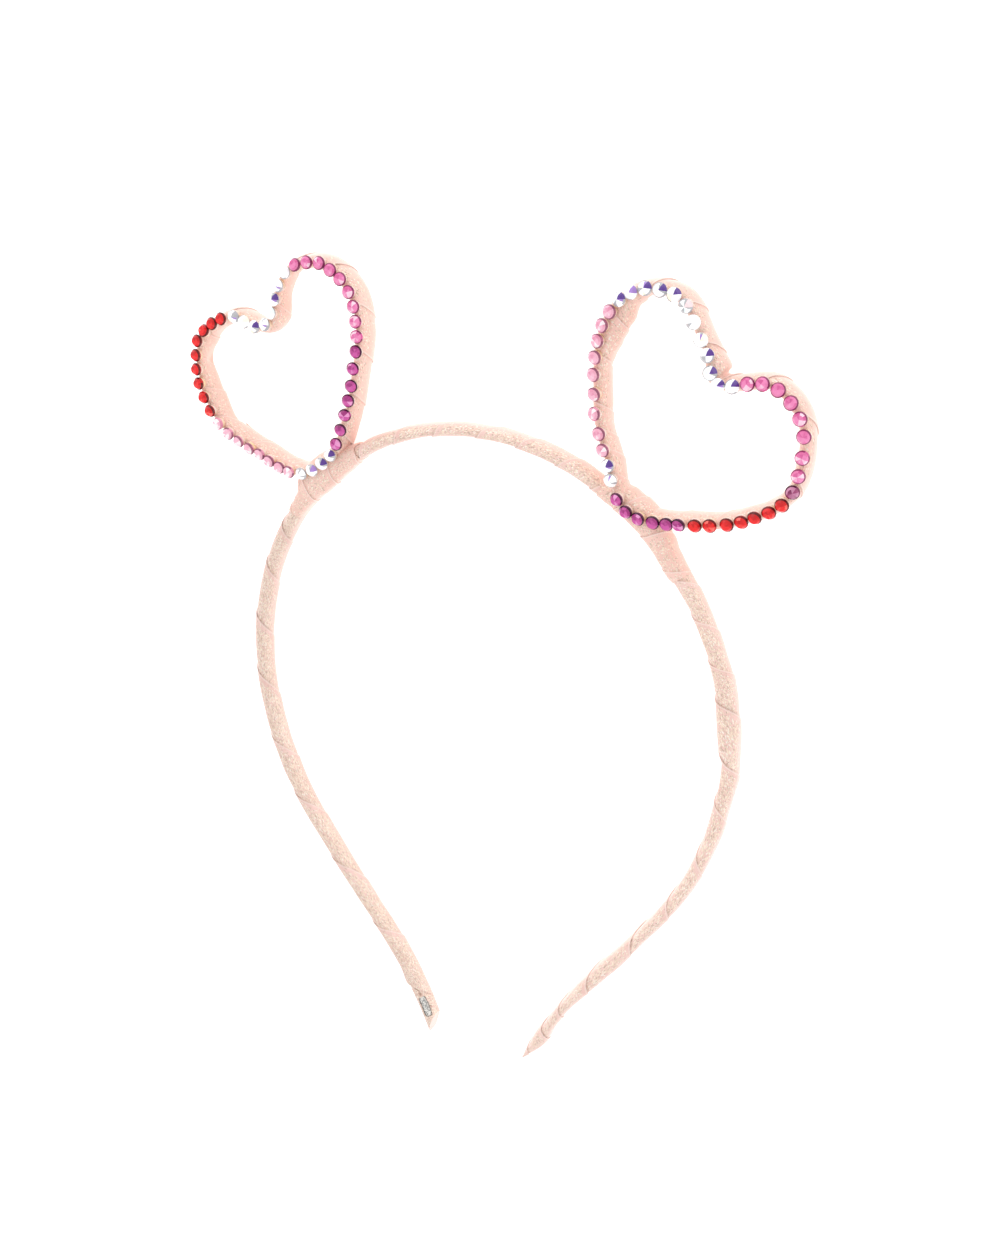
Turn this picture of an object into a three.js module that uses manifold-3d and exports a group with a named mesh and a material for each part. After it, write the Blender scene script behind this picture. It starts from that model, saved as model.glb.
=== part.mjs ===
// Heart ears headband: a wound ribbon hoop with two wound hearts that carry rows of cut stones.
// Millimetres. X is to the right, Y runs from the tips to the hearts.
// Z is up, from the flat back to the stones.
// The band lies on its back on the plane Z = 0, with the middle of its footprint at the origin.
import * as THREE from 'three';
import { mergeVertices } from 'three/addons/utils/BufferGeometryUtils.js';
import Module from 'manifold-3d';

const solids = await Module();
solids.setup();

// Clearance between neighbouring pieces.
const GAP = 0.3;

// Half of the hoop's centreline, from the crown to a tip. A negative radius bends outwards.
const ARCH = [
  { stretch: 'crown', length: 35, radius: 55.8 },
  { stretch: 'upper shoulder', length: 35, radius: 62.4 },
  { stretch: 'shoulder', length: 35, radius: 66.1 },
  { stretch: 'side', length: 35, radius: 76.0 },
  { stretch: 'leg', length: 30, radius: 580.0 },
  { stretch: 'tip flare', length: 30, radius: -98.0 },
];

// The wound band: an oval with a flattened back, and the flat strip inside it.
const BAND = { depth: 5.2, thickness: 3.3, middle: 2.33, pitch: 10.8, lap: 0.3, round: 2.4 };
const CORE = { depth: 2.6, thickness: 0.8, left: -200, right: 186 };
const SLEEVE = { left: -198, right: 200, rightTipTaper: 16, rightTipShare: 0.45 };

// Thickness of the winding along the hoop, as a share of the plain oval; the left tip is at -200.
const GIRTH = [
  { at: -200, share: 1.05 },
  { at: -188, share: 1.12 },
  { at: -170, share: 0.92 },
  { at: -140, share: 0.94 },
  { at: -110, share: 1.05 },
  { at: -68, share: 1.1 },
  { at: -28, share: 0.94 },
  { at: 0, share: 0.82 },
  { at: 28, share: 1.0 },
  { at: 60, share: 1.05 },
  { at: 76, share: 1.1 },
  { at: 88, share: 1.36 },
  { at: 102, share: 1.08 },
  { at: 132, share: 0.98 },
  { at: 148, share: 0.8 },
  { at: 162, share: 0.98 },
  { at: 180, share: 0.78 },
  { at: 200, share: 0.8 },
];

// Joint wraps: a swelling on the outer side of the hoop that takes in the foot of a heart.
const JOINT = {
  at: 40,
  half: 12,
  outer: 4.7,
  inner: 2.0,
  endOuter: 2.0,
  top: 5.95,
  endTop: 5.1,
  bottom: -0.3,
  round: 2.6,
  pitch: 6,
  lap: 0.25,
};

// Heart frames: a deep, thin oval wound with ribbon.
const FRAME = { depth: 6.4, thickness: 3.0, middle: 2.9, front: 6.15, turns: 15, lap: 0.3, round: 2.4 };

// Corners of a wound section; two of them lie on the flat back.
// Rows of corners within one lap are shares of its pitch.
const SIDES = 10;
const LAP_EDGE = 0.12;
const HOOP_ROWS = [0, LAP_EDGE];
const TIGHT_ROWS = [0, LAP_EDGE, 0.56];

// Outline of each heart in the plane of the hoop, from its foot, anticlockwise.
// Zero is the crown of the hoop's centreline.
const HEARTS = {
  left: [
    { place: 'foot', x: -42.9, y: -13.7 },
    { place: 'foot', x: -34.5, y: -8.7 },
    { place: 'inner flank', x: -30.6, y: -1.4 },
    { place: 'inner flank', x: -27.8, y: 8.7 },
    { place: 'inner lobe', x: -26.1, y: 19.2 },
    { place: 'inner lobe', x: -28.6, y: 28.0 },
    { place: 'inner lobe top', x: -36.0, y: 32.4 },
    { place: 'inner lobe', x: -44.3, y: 29.3 },
    { place: 'notch', x: -50.3, y: 17.8 },
    { place: 'outer lobe top', x: -59.7, y: 19.1 },
    { place: 'outer lobe', x: -68.2, y: 13.3 },
    { place: 'outer lobe', x: -68.8, y: 3.0 },
    { place: 'outer flank', x: -63.8, y: -5.1 },
    { place: 'outer flank', x: -54.4, y: -10.0 },
  ],
  right: [
    { place: 'foot', x: 33.2, y: -7.9 },
    { place: 'foot', x: 38.4, y: -11.8 },
    { place: 'outer flank', x: 49.6, y: -11.3 },
    { place: 'outer flank', x: 58.7, y: -9.2 },
    { place: 'outer lobe', x: 68.1, y: -3.1 },
    { place: 'outer lobe', x: 70.1, y: 9.5 },
    { place: 'outer lobe top', x: 63.7, y: 17.1 },
    { place: 'notch', x: 53.0, y: 16.2 },
    { place: 'notch', x: 50.4, y: 22.6 },
    { place: 'inner lobe', x: 44.6, y: 31.8 },
    { place: 'inner lobe top', x: 35.4, y: 31.9 },
    { place: 'inner lobe', x: 29.1, y: 24.0 },
    { place: 'inner flank', x: 28.4, y: 9.1 },
    { place: 'inner flank', x: 31.5, y: -2.0 },
  ],
};

// Loose folds of the winding that reach into a heart.
// Each has its middle and length along the outline, and how far it reaches.
const FOLDS = {
  left: [
    { at: 52, length: 16, reach: 0.8 },
    { at: 76.5, length: 12, reach: 0.8 },
  ],
  right: [
    { at: 110, length: 18, reach: 2.4 },
    { at: 126, length: 14, reach: 0.4 },
  ],
};

// Cut stones: flat back, girdle, eight crown facets and a table.
const STONE = {
  girdle: 1.45,
  back: 1.35,
  table: 0.82,
  girdleHeight: 0.35,
  height: 1.15,
  facets: 8,
  sunk: 0.15,
  turn: 0.9,
};
const GLUE = { width: 1.0, thickness: 0.45, lift: 0.15 };

// Runs of one colour: first and last stone, measured along the outline from the heart's foot.
const RUNS = {
  left: [
    { run: 'crystal_low', finish: 'crystal', count: 4, first: 0.9, last: 10.4 },
    { run: 'fuchsia', finish: 'fuchsia', count: 7, first: 13.6, last: 35.2 },
    { run: 'rose', finish: 'rose', count: 9, first: 38.4, last: 62.9 },
    { run: 'crystal_top', finish: 'crystal', count: 8, first: 66.1, last: 88.1 },
    { run: 'red', finish: 'red', count: 9, first: 91.6, last: 116.8 },
    { run: 'pale_pink', finish: 'palePink', count: 8, first: 120.0, last: 140.9 },
  ],
  right: [
    { run: 'fuchsia', finish: 'fuchsia', count: 6, first: 0.6, last: 15.4 },
    { run: 'red', finish: 'red', count: 7, first: 18.6, last: 37.1 },
    { run: 'amethyst', finish: 'amethyst', count: 1, first: 40.4, last: 40.4 },
    { run: 'rose', finish: 'rose', count: 8, first: 43.7, last: 67.1 },
    { run: 'crystal_top', finish: 'crystal', count: 12, first: 70.2, last: 104.0 },
    { run: 'pale_pink', finish: 'palePink', count: 9, first: 107.1, last: 135.0 },
    { run: 'crystal_low', finish: 'crystal', count: 2, first: 138.0, last: 141.0 },
  ],
};

const FINISH = {
  ribbon: { color: 0xf0cdbf, roughness: 0.55, metalness: 0.0 },
  metal: { color: 0xb9babd, roughness: 0.35, metalness: 0.9 },
  red: { color: 0xd0141c, roughness: 0.12, metalness: 0.1 },
  palePink: { color: 0xf2a9c8, roughness: 0.12, metalness: 0.1 },
  rose: { color: 0xe0589a, roughness: 0.12, metalness: 0.1 },
  fuchsia: { color: 0xa8327c, roughness: 0.12, metalness: 0.1 },
  amethyst: { color: 0x5b2a7a, roughness: 0.12, metalness: 0.1 },
  crystal: { color: 0xe6e4f0, roughness: 0.08, metalness: 0.1 },
};

const clamp = THREE.MathUtils.clamp;
const lerp = THREE.MathUtils.lerp;
const smooth = (value) => THREE.MathUtils.smoothstep(value, 0, 1);

/** Reads a short table of {at, share} rows at one place, straight between its rows. */
function shareAt(table, at) {
  const next = table.findIndex((row) => row.at >= at);
  if (next <= 0) {
    return next === 0 ? table[0].share : table[table.length - 1].share;
  }
  const before = table[next - 1];
  const after = table[next];
  return lerp(before.share, after.share, (at - before.at) / (after.at - before.at));
}

/** Place and heading on the hoop's centreline; s runs from the left tip (negative) to the right tip. */
function hoopAt(s) {
  const side = Math.sign(s) || 1;
  let left = Math.abs(s);
  let heading = 0;
  const point = new THREE.Vector2();
  for (const arc of ARCH) {
    const run = Math.min(left, arc.length);
    const turn = run / arc.radius;
    point.x += arc.radius * (Math.sin(heading + turn) - Math.sin(heading));
    point.y += arc.radius * (Math.cos(heading + turn) - Math.cos(heading));
    heading += turn;
    left -= run;
  }
  point.x += left * Math.cos(heading);
  point.y -= left * Math.sin(heading);
  point.x *= side;
  return { point, tangent: new THREE.Vector2(Math.cos(heading), -side * Math.sin(heading)) };
}

/** A closed outline through a heart's table, measured along its length. */
class HeartOutline {
  constructor(rows) {
    const knots = rows.map((row) => new THREE.Vector3(row.x, row.y, 0));
    this.curve = new THREE.CatmullRomCurve3(knots, true, 'catmullrom', 0.5);
    this.curve.arcLengthDivisions = 1400;
    this.length = this.curve.getLength();
  }

  at(s) {
    const share = (((s / this.length) % 1) + 1) % 1;
    const point = this.curve.getPointAt(share);
    const tangent = this.curve.getTangentAt(share);
    return {
      point: new THREE.Vector2(point.x, point.y),
      tangent: new THREE.Vector2(tangent.x, tangent.y).normalize(),
    };
  }
}

/** Height of the winding within one lap: a step up at the ribbon's edge, then a long fall. */
function lapHeight(phase) {
  const share = phase - Math.floor(phase);
  return share < LAP_EDGE ? share / LAP_EDGE : (1 - share) / (1 - LAP_EDGE);
}

/** A point beside a path: d to the left of its heading, z upwards. */
function beside(frame, d, z) {
  return new THREE.Vector3(frame.point.x - frame.tangent.y * d, frame.point.y + frame.tangent.x * d, z);
}

/** One point of an oval section; inner and outer are its reaches to the right and left of the path. */
function ovalPoint(frame, section, angle, height) {
  const power = 2 / section.round;
  const c = Math.cos(angle);
  const s = Math.sin(angle);
  const halfWidth = (section.outer + section.inner) / 2 + height;
  const halfDepth = (section.top - section.bottom) / 2 + height;
  const d = (section.outer - section.inner) / 2 + halfWidth * Math.sign(c) * Math.abs(c) ** power;
  const z = (section.top + section.bottom) / 2 + halfDepth * Math.sign(s) * Math.abs(s) ** power;
  return beside(frame, d, Math.max(0, z));
}

/** Builds a body from triangles of points: shared corners are joined and empty triangles dropped. */
function bodyFrom(triangles) {
  const flat = new THREE.BufferGeometry().setFromPoints(triangles.flat());
  const joined = mergeVertices(flat, 1e-4);
  const index = Array.from(joined.index.array);
  const kept = [];
  for (let i = 0; i < index.length; i += 3) {
    const [a, b, c] = index.slice(i, i + 3);
    if (a !== b && b !== c && c !== a) {
      kept.push(a, b, c);
    }
  }
  joined.setIndex(kept);
  return joined;
}

/** Closes a ring of points with a fan round its middle. */
function fan(ring, reversed) {
  const middle = ring.reduce((sum, p) => sum.add(p), new THREE.Vector3()).divideScalar(ring.length);
  return ring.map((p, i) => {
    const next = ring[(i + 1) % ring.length];
    return reversed ? [middle, next, p] : [middle, p, next];
  });
}

/**
 * A body wound with ribbon along a path. Rows of the mesh follow the ribbon's edge round the section.
 * @param {object} winding path(s), section(s), from, to, pitch, lap, rows and, for a ring, closed.
 */
function wound({ path, section, from, to, pitch, lap, rows, closed = false }) {
  const firstTurn = closed ? 0 : Math.floor(from / pitch);
  const lastTurn = closed ? Math.round((to - from) / pitch) : Math.ceil(to / pitch) + 1;
  const angleOf = (i) => (i / SIDES) * 2 * Math.PI;
  const place = (phase, i) => {
    const angle = angleOf(i);
    const raw = pitch * (phase - angle / (2 * Math.PI));
    const s = closed ? raw : clamp(raw, from, to);
    const height = lap * lapHeight(closed ? phase : s / pitch + angle / (2 * Math.PI));
    return ovalPoint(path(s), section(s), angle, height);
  };
  const phases = [];
  for (let turn = firstTurn; turn < lastTurn; turn += 1) {
    rows.forEach((row) => phases.push(turn + row));
  }
  phases.push(lastTurn);
  const grid = phases.map((phase) => Array.from({ length: SIDES + 1 }, (_, i) => place(phase, i)));
  const triangles = [];
  for (let r = 0; r + 1 < grid.length; r += 1) {
    for (let i = 0; i < SIDES; i += 1) {
      const [a, b, c, d] = [grid[r][i], grid[r][i + 1], grid[r + 1][i + 1], grid[r + 1][i]];
      triangles.push([a, b, c], [a, c, d]);
    }
  }
  if (!closed) {
    const ring = (s) => Array.from({ length: SIDES }, (_, i) => {
      const height = lap * lapHeight(s / pitch + angleOf(i) / (2 * Math.PI));
      return ovalPoint(path(s), section(s), angleOf(i), height);
    });
    triangles.push(...fan(ring(from), true), ...fan(ring(to), false));
  }
  return bodyFrom(triangles);
}

/**
 * A plain bar along a path. corners(s) gives its section's corners as [d, z],
 * anticlockwise seen along the heading.
 */
function bar({ path, corners, from, to, steps }) {
  const rings = Array.from({ length: steps + 1 }, (_, k) => {
    const s = lerp(from, to, k / steps);
    return corners(s).map(([d, z]) => beside(path(s), d, z));
  });
  const triangles = [];
  for (let k = 0; k < steps; k += 1) {
    rings[k].forEach((p, i) => {
      const j = (i + 1) % rings[k].length;
      triangles.push([p, rings[k][j], rings[k + 1][j]], [p, rings[k + 1][j], rings[k + 1][i]]);
    });
  }
  triangles.push(...fan(rings[0], true), ...fan(rings[steps], false));
  return bodyFrom(triangles);
}

/** Corners of an upright oblong section between two reaches and two heights. */
function oblong(right, left, bottom, top) {
  return [[left, bottom], [left, top], [right, top], [right, bottom]];
}

/** Turns a geometry into a solid that can be joined and cut. */
function toSolid(geometry) {
  const mesh = new solids.Mesh({
    numProp: 3,
    vertProperties: new Float32Array(geometry.attributes.position.array),
    triVerts: new Uint32Array(geometry.index.array),
  });
  return new solids.Manifold(mesh);
}

/** Turns a solid back into a geometry. */
function toGeometry(solid) {
  const mesh = solid.getMesh();
  const geometry = new THREE.BufferGeometry();
  geometry.setAttribute('position', new THREE.BufferAttribute(new Float32Array(mesh.vertProperties), 3));
  geometry.setIndex(Array.from(mesh.triVerts));
  return geometry;
}

/** Section of the wound band at s, thinner towards the right tip. */
function bandSection(s) {
  const taper = smooth((s - (SLEEVE.right - SLEEVE.rightTipTaper)) / SLEEVE.rightTipTaper);
  const tip = lerp(1, SLEEVE.rightTipShare, taper);
  const half = (BAND.thickness / 2 - BAND.lap / 2) * shareAt(GIRTH, s) * tip;
  const deep = (BAND.depth / 2 - BAND.lap / 2) * tip;
  return { inner: half, outer: half, bottom: BAND.middle - deep, top: BAND.middle + deep, round: BAND.round };
}

/** Section of a joint wrap, s measured on the hoop. */
function jointSection(s) {
  const share = 1 - smooth(Math.abs(Math.abs(s) - JOINT.at) / JOINT.half);
  const outer = lerp(JOINT.endOuter, JOINT.outer, share);
  const top = lerp(JOINT.endTop, JOINT.top, share);
  return { inner: JOINT.inner, outer, bottom: JOINT.bottom, top, round: JOINT.round };
}

/** The space that the strip takes inside the windings. */
function coreSpace(from, to) {
  const wide = CORE.thickness / 2 + GAP;
  const tall = CORE.depth / 2 + GAP;
  const corners = () => oblong(-wide, wide, BAND.middle - tall, BAND.middle + tall);
  return toSolid(bar({ path: hoopAt, corners, from, to, steps: Math.ceil((to - from) / 6) }));
}

/** A length of wound ribbon on the hoop, hollow for the strip. */
function ribbonSleeve(from, to, hollowFrom, hollowTo) {
  const body = wound({
    path: hoopAt,
    section: bandSection,
    from,
    to,
    pitch: BAND.pitch,
    lap: BAND.lap,
    rows: HOOP_ROWS,
  });
  return toGeometry(toSolid(body).subtract(coreSpace(hollowFrom, hollowTo)));
}

/** The wrap that ties a heart's foot to the hoop; side is -1 for the left. */
function jointWrap(side) {
  const from = side * JOINT.at - JOINT.half;
  const to = side * JOINT.at + JOINT.half;
  const body = wound({
    path: hoopAt,
    section: jointSection,
    from,
    to,
    pitch: JOINT.pitch,
    lap: JOINT.lap,
    rows: TIGHT_ROWS,
  });
  return toGeometry(toSolid(body).subtract(coreSpace(from - 2, to + 2)));
}

/** The room that a joint wrap and its clearance take out of a heart's frame. */
function jointRoom(side) {
  const grow = JOINT.lap + GAP;
  const corners = (s) => oblong(-JOINT.inner - grow, jointSection(s).outer + grow, -1, FRAME.depth + 2);
  const from = side * JOINT.at - JOINT.half - GAP;
  const to = side * JOINT.at + JOINT.half + GAP;
  return toSolid(bar({ path: hoopAt, corners, from, to, steps: 16 }));
}

/** A heart's wound frame, open at its foot where the joint wrap takes over. */
function heartFrame(name, outline) {
  const half = FRAME.thickness / 2 - FRAME.lap / 2;
  const deep = FRAME.depth / 2 - FRAME.lap / 2;
  const section = (s) => {
    const along = ((s % outline.length) + outline.length) % outline.length;
    const reach = FOLDS[name].reduce((sum, fold) => {
      return sum + fold.reach * (1 - smooth(Math.abs(along - fold.at) / (fold.length / 2)));
    }, 0);
    return {
      inner: half,
      outer: half + reach,
      bottom: FRAME.middle - deep,
      top: FRAME.middle + deep,
      round: FRAME.round,
    };
  };
  const ring = wound({
    path: (s) => outline.at(s),
    section,
    from: 0,
    to: outline.length,
    pitch: outline.length / FRAME.turns,
    lap: FRAME.lap,
    rows: TIGHT_ROWS,
    closed: true,
  });
  return toGeometry(toSolid(ring).subtract(jointRoom(name === 'left' ? -1 : 1)));
}

/** One cut stone, its flat back at z = 0. */
function cutStone() {
  const profile = [
    [0, 0],
    [STONE.back, 0],
    [STONE.girdle, STONE.girdleHeight],
    [STONE.table, STONE.height],
    [0, STONE.height],
  ];
  const turned = new THREE.LatheGeometry(profile.map(([r, z]) => new THREE.Vector2(r, z)), STONE.facets);
  turned.rotateX(Math.PI / 2);
  const at = turned.attributes.position;
  const corner = (i) => new THREE.Vector3().fromBufferAttribute(at, i);
  const index = turned.index.array;
  const triangles = [];
  for (let i = 0; i < index.length; i += 3) {
    triangles.push([corner(index[i]), corner(index[i + 1]), corner(index[i + 2])]);
  }
  return bodyFrom(triangles);
}

/** One run of stones on a heart, joined by the line of glue under it. */
function stoneRun(outline, { count, first, last }) {
  const bottom = FRAME.front + GLUE.lift;
  const glueTop = bottom + GLUE.thickness;
  const half = GLUE.width / 2;
  const over = STONE.girdle * 0.7;
  const corners = () => oblong(-half, half, bottom, glueTop);
  const path = (s) => outline.at(s);
  const strip = bar({ path, corners, from: first - over, to: last + over, steps: count + 1 });
  const single = cutStone();
  const pieces = [toSolid(strip)];
  for (let k = 0; k < count; k += 1) {
    const frame = outline.at(count > 1 ? lerp(first, last, k / (count - 1)) : first);
    const stone = single.clone();
    stone.rotateZ(Math.atan2(frame.tangent.y, frame.tangent.x) + k * STONE.turn);
    stone.translate(frame.point.x, frame.point.y, glueTop - STONE.sunk);
    pieces.push(toSolid(stone));
  }
  return toGeometry(solids.Manifold.union(pieces));
}

const root = new THREE.Group();
root.name = 'heart_ears_headband';

/** Adds one named piece with a material of its own. */
function add(name, geometry, finish) {
  const mesh = new THREE.Mesh(geometry, new THREE.MeshStandardMaterial(FINISH[finish]));
  mesh.name = name;
  root.add(mesh);
}

const coreCorners = () => {
  const wide = CORE.thickness / 2;
  const tall = CORE.depth / 2;
  return oblong(-wide, wide, BAND.middle - tall, BAND.middle + tall);
};
const core = bar({ path: hoopAt, corners: coreCorners, from: CORE.left, to: CORE.right, steps: 64 });
add('band_core', core, 'metal');

const jointStart = JOINT.at - JOINT.half - GAP;
const jointEnd = JOINT.at + JOINT.half + GAP;
add('left_leg_ribbon', ribbonSleeve(SLEEVE.left, -jointEnd, SLEEVE.left - 2, -jointEnd + 2), 'ribbon');
add('crown_ribbon', ribbonSleeve(-jointStart, jointStart, -jointStart - 2, jointStart + 2), 'ribbon');
add('right_leg_ribbon', ribbonSleeve(jointEnd, SLEEVE.right, jointEnd - 2, CORE.right + GAP), 'ribbon');

for (const [name, side] of [['left', -1], ['right', 1]]) {
  const outline = new HeartOutline(HEARTS[name]);
  add(`${name}_joint_wrap`, jointWrap(side), 'ribbon');
  add(`${name}_heart_frame`, heartFrame(name, outline), 'ribbon');
  for (const row of RUNS[name]) {
    add(`${name}_stones_${row.run}`, stoneRun(outline, row), row.finish);
  }
}

// The middle of the footprint goes to the origin.
const box = new THREE.Box3().setFromObject(root);
const middle = box.getCenter(new THREE.Vector3());
root.children.forEach((mesh) => mesh.geometry.translate(-middle.x, -middle.y, -box.min.z));

export default root;
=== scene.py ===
"""Heart ears headband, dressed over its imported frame.

A narrow sprung strip is wound with blush glitter ribbon. Two open hearts of wound wire are bound
to it, and each heart carries a row of cut stones in runs of colour. Sizes in this file are in
millimetres and angles in degrees unless a name says otherwise; the meshes are in metres.
"""

from __future__ import annotations

import logging
import math
from bisect import bisect_right
from dataclasses import dataclass, field
from enum import Enum
from itertools import zip_longest
from random import Random
from typing import Any, Callable, Protocol, Sequence

import bmesh
import bpy
from mathutils import Matrix, Vector, noise

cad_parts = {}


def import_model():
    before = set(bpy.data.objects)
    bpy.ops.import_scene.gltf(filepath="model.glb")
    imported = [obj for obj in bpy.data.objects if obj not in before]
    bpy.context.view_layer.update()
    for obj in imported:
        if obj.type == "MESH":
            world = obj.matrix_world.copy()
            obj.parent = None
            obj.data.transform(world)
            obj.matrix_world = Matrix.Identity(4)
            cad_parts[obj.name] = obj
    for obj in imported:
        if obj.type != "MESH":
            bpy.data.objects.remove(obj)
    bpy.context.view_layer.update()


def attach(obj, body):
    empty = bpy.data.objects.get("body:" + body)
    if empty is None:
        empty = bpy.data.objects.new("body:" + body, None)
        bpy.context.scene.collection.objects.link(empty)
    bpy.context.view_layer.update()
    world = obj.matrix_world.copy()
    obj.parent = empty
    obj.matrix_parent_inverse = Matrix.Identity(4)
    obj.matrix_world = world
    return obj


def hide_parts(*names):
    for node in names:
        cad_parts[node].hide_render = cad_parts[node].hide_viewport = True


LOG = logging.getLogger("headband")

Colour = tuple[float, float, float]
# A span of a value and, where they are given, what it is eased from and to over that span.
Span = tuple[float, ...]

MM = 0.001
# Corners nearer than this are joined, in metres.
JOINED = 0.01 * MM
BODY = "root"
# From the hoop's own frame, with zero at the crown of its centreline, to the row frame.
ROW_SHIFT = Vector((-0.485, 60.30, 0.0))
RIBBON_UV = "ribbon"
LAP_ATTRIBUTE = "lap"
FRONT_ATTRIBUTE = "front"
LINE_SHADE_ATTRIBUTE = "ink"
FACET_ATTRIBUTE = "facet"
# The place within a lap, from 0 to 1, where the next lap's edge lies on it.
COVERED_LAP = 0.01


class Side(Enum):
    """The two sides of the band, seen from the stones."""

    LEFT = -1
    RIGHT = 1

    @property
    def word(self) -> str:
        """Return the side's name as the nodes spell it."""
        return self.name.lower()


class OpenEdge(Enum):
    """Which way the open edge of each lap looks along the path."""

    BACKWARD = -1
    FORWARD = 1


class Slot(Enum):
    """Material slots of the record."""

    METAL = "hoop_metal"
    RIBBON = "glitter_ribbon"
    RED = "stone_red"
    PALE_PINK = "stone_pale_pink"
    ROSE = "stone_rose"
    FUCHSIA = "stone_fuchsia"
    AMETHYST = "stone_amethyst"
    CRYSTAL = "stone_crystal"


def smooth(value: float) -> float:
    """Return an eased step from 0 to 1."""
    x = min(max(value, 0.0), 1.0)
    return x * x * (3.0 - 2.0 * x)


def lerp(start: float, end: float, share: float) -> float:
    """Return the value a share of the way from start to end."""
    return start + (end - start) * share


def curve(a: Any, b: Any, c: Any, d: Any, u: float) -> Any:
    """Return a value on a smooth curve by way of a, b, c and d.

    Args:
        a: The value before b.
        b: Where the share is 0.
        c: Where the share is 1.
        d: The value after c.
        u: The share of the way from b to c.

    Returns:
        The value, of the same kind as the four.
    """
    first, second = 0.5 * (c - a), 0.5 * (d - b)
    return (
        (2 * u**3 - 3 * u**2 + 1) * b
        + (u**3 - 2 * u**2 + u) * first
        + (3 * u**2 - 2 * u**3) * c
        + (u**3 - u**2) * second
    )


def table_value(rows: Sequence[Sequence[float]], x: float, column: int = 1) -> float:
    """Return a column of a table at x, eased from row to row.

    Args:
        rows: Rows that begin with a rising x.
        x: Where to read.
        column: Which column.

    Returns:
        The value, held at the table's ends.
    """
    if x <= rows[0][0]:
        return rows[0][column]
    for low, high in zip(rows, rows[1:]):
        if x <= high[0]:
            return lerp(low[column], high[column], smooth((x - low[0]) / (high[0] - low[0])))
    return rows[-1][column]


def to_row(point: Vector) -> Vector:
    """Return a point of the hoop's frame as metres in the row frame."""
    return (point + ROW_SHIFT) * MM


# Paths and sections


@dataclass(frozen=True)
class Spot:
    """A place on a path and its heading."""

    x: float
    y: float
    heading_x: float
    heading_y: float

    def beside(self, left: float, height: float) -> Vector:
        """Return the point that far to the left of the heading, at a height."""
        return Vector((self.x - self.heading_y * left, self.y + self.heading_x * left, height))

    @property
    def turn(self) -> float:
        """Return the heading as an angle in radians."""
        return math.atan2(self.heading_y, self.heading_x)


class Path(Protocol):
    """Anything that a ribbon can be wound round."""

    def at(self, s: float) -> Spot:
        """Return the place at a distance along the path."""


@dataclass(frozen=True)
class HoopPath:
    """The hoop's centreline, measured from the crown; the left tip is negative."""

    # Length and radius of each arc from the crown to a tip; a negative radius bends outwards.
    arcs: tuple[tuple[float, float], ...] = (
        *((35.0, 55.8), (35.0, 62.4), (35.0, 66.1)),
        *((35.0, 76.0), (30.0, 580.0), (30.0, -98.0)),
    )

    def at(self, s: float) -> Spot:
        """Return the place at a distance along the hoop.

        Args:
            s: Distance from the crown, negative towards the left tip.

        Returns:
            The place and its heading, towards the right tip.
        """
        side = -1.0 if s < 0.0 else 1.0
        left = abs(s)
        heading = x = y = 0.0
        for length, radius in self.arcs:
            run = min(left, length)
            turned = heading + run / radius
            x += radius * (math.sin(turned) - math.sin(heading))
            y += radius * (math.cos(turned) - math.cos(heading))
            heading = turned
            left -= run
        x += left * math.cos(heading)
        y -= left * math.sin(heading)
        return Spot(x * side, y, math.cos(heading), -side * math.sin(heading))


class HeartPath:
    """The closed outline of a heart, measured anticlockwise from its foot."""

    SAMPLES = 1400
    # How far to each side of a place its heading is taken from.
    NEAR = 0.15

    def __init__(self, knots: Sequence[tuple[float, float]]) -> None:
        """Sample a smooth closed curve through the knots.

        Args:
            knots: Places on the outline, anticlockwise from the foot.
        """
        count = len(knots)
        self._points: list[Vector] = []
        for k in range(self.SAMPLES + 1):
            along = k / self.SAMPLES * count
            i = int(along) % count
            u = along - math.floor(along)
            a, b, c, d = (Vector(knots[(i + j) % count]) for j in (-1, 0, 1, 2))
            self._points.append(curve(a, b, c, d, u))
        self._reach = [0.0]
        for a, b in zip(self._points, self._points[1:]):
            self._reach.append(self._reach[-1] + (b - a).length)
        self.length = self._reach[-1]

    def _point(self, s: float) -> Vector:
        """Find a point of the outline.

        Args:
            s: Distance along the outline.

        Returns:
            The point.
        """
        s %= self.length
        i = min(bisect_right(self._reach, s), self.SAMPLES) - 1
        share = (s - self._reach[i]) / (self._reach[i + 1] - self._reach[i])
        return self._points[i].lerp(self._points[i + 1], share)

    def at(self, s: float) -> Spot:
        """Return the place at a distance along the outline.

        Args:
            s: Distance from the foot, anticlockwise.

        Returns:
            The place and its heading.
        """
        point = self._point(s)
        heading = (self._point(s + self.NEAR) - self._point(s - self.NEAR)).normalized()
        return Spot(point.x, point.y, heading.x, heading.y)


@dataclass(frozen=True)
class Oval:
    """A rounded section beside a path, pressed flat where it rests."""

    inner: float
    outer: float
    bottom: float
    top: float
    round: float = 2.4

    def reach(self, angle: float, lift: float = 0.0, rest: float = 0.0) -> tuple[float, float]:
        """Return a point of the section.

        Args:
            angle: Radians from the left of the heading, by way of the front.
            lift: How far the cloth stands off the plain section.
            rest: Height of the layer that the flat back lies at.

        Returns:
            The reach to the left of the heading and the height.
        """
        power = 2.0 / self.round
        c, s = math.cos(angle), math.sin(angle)
        half_width = (self.outer + self.inner) / 2.0 + lift
        half_depth = (self.top - self.bottom) / 2.0 + lift
        left = (self.outer - self.inner) / 2.0 + half_width * math.copysign(abs(c) ** power, c)
        up = (self.top + self.bottom) / 2.0 + half_depth * math.copysign(abs(s) ** power, s)
        return left, max(rest, up)


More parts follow.
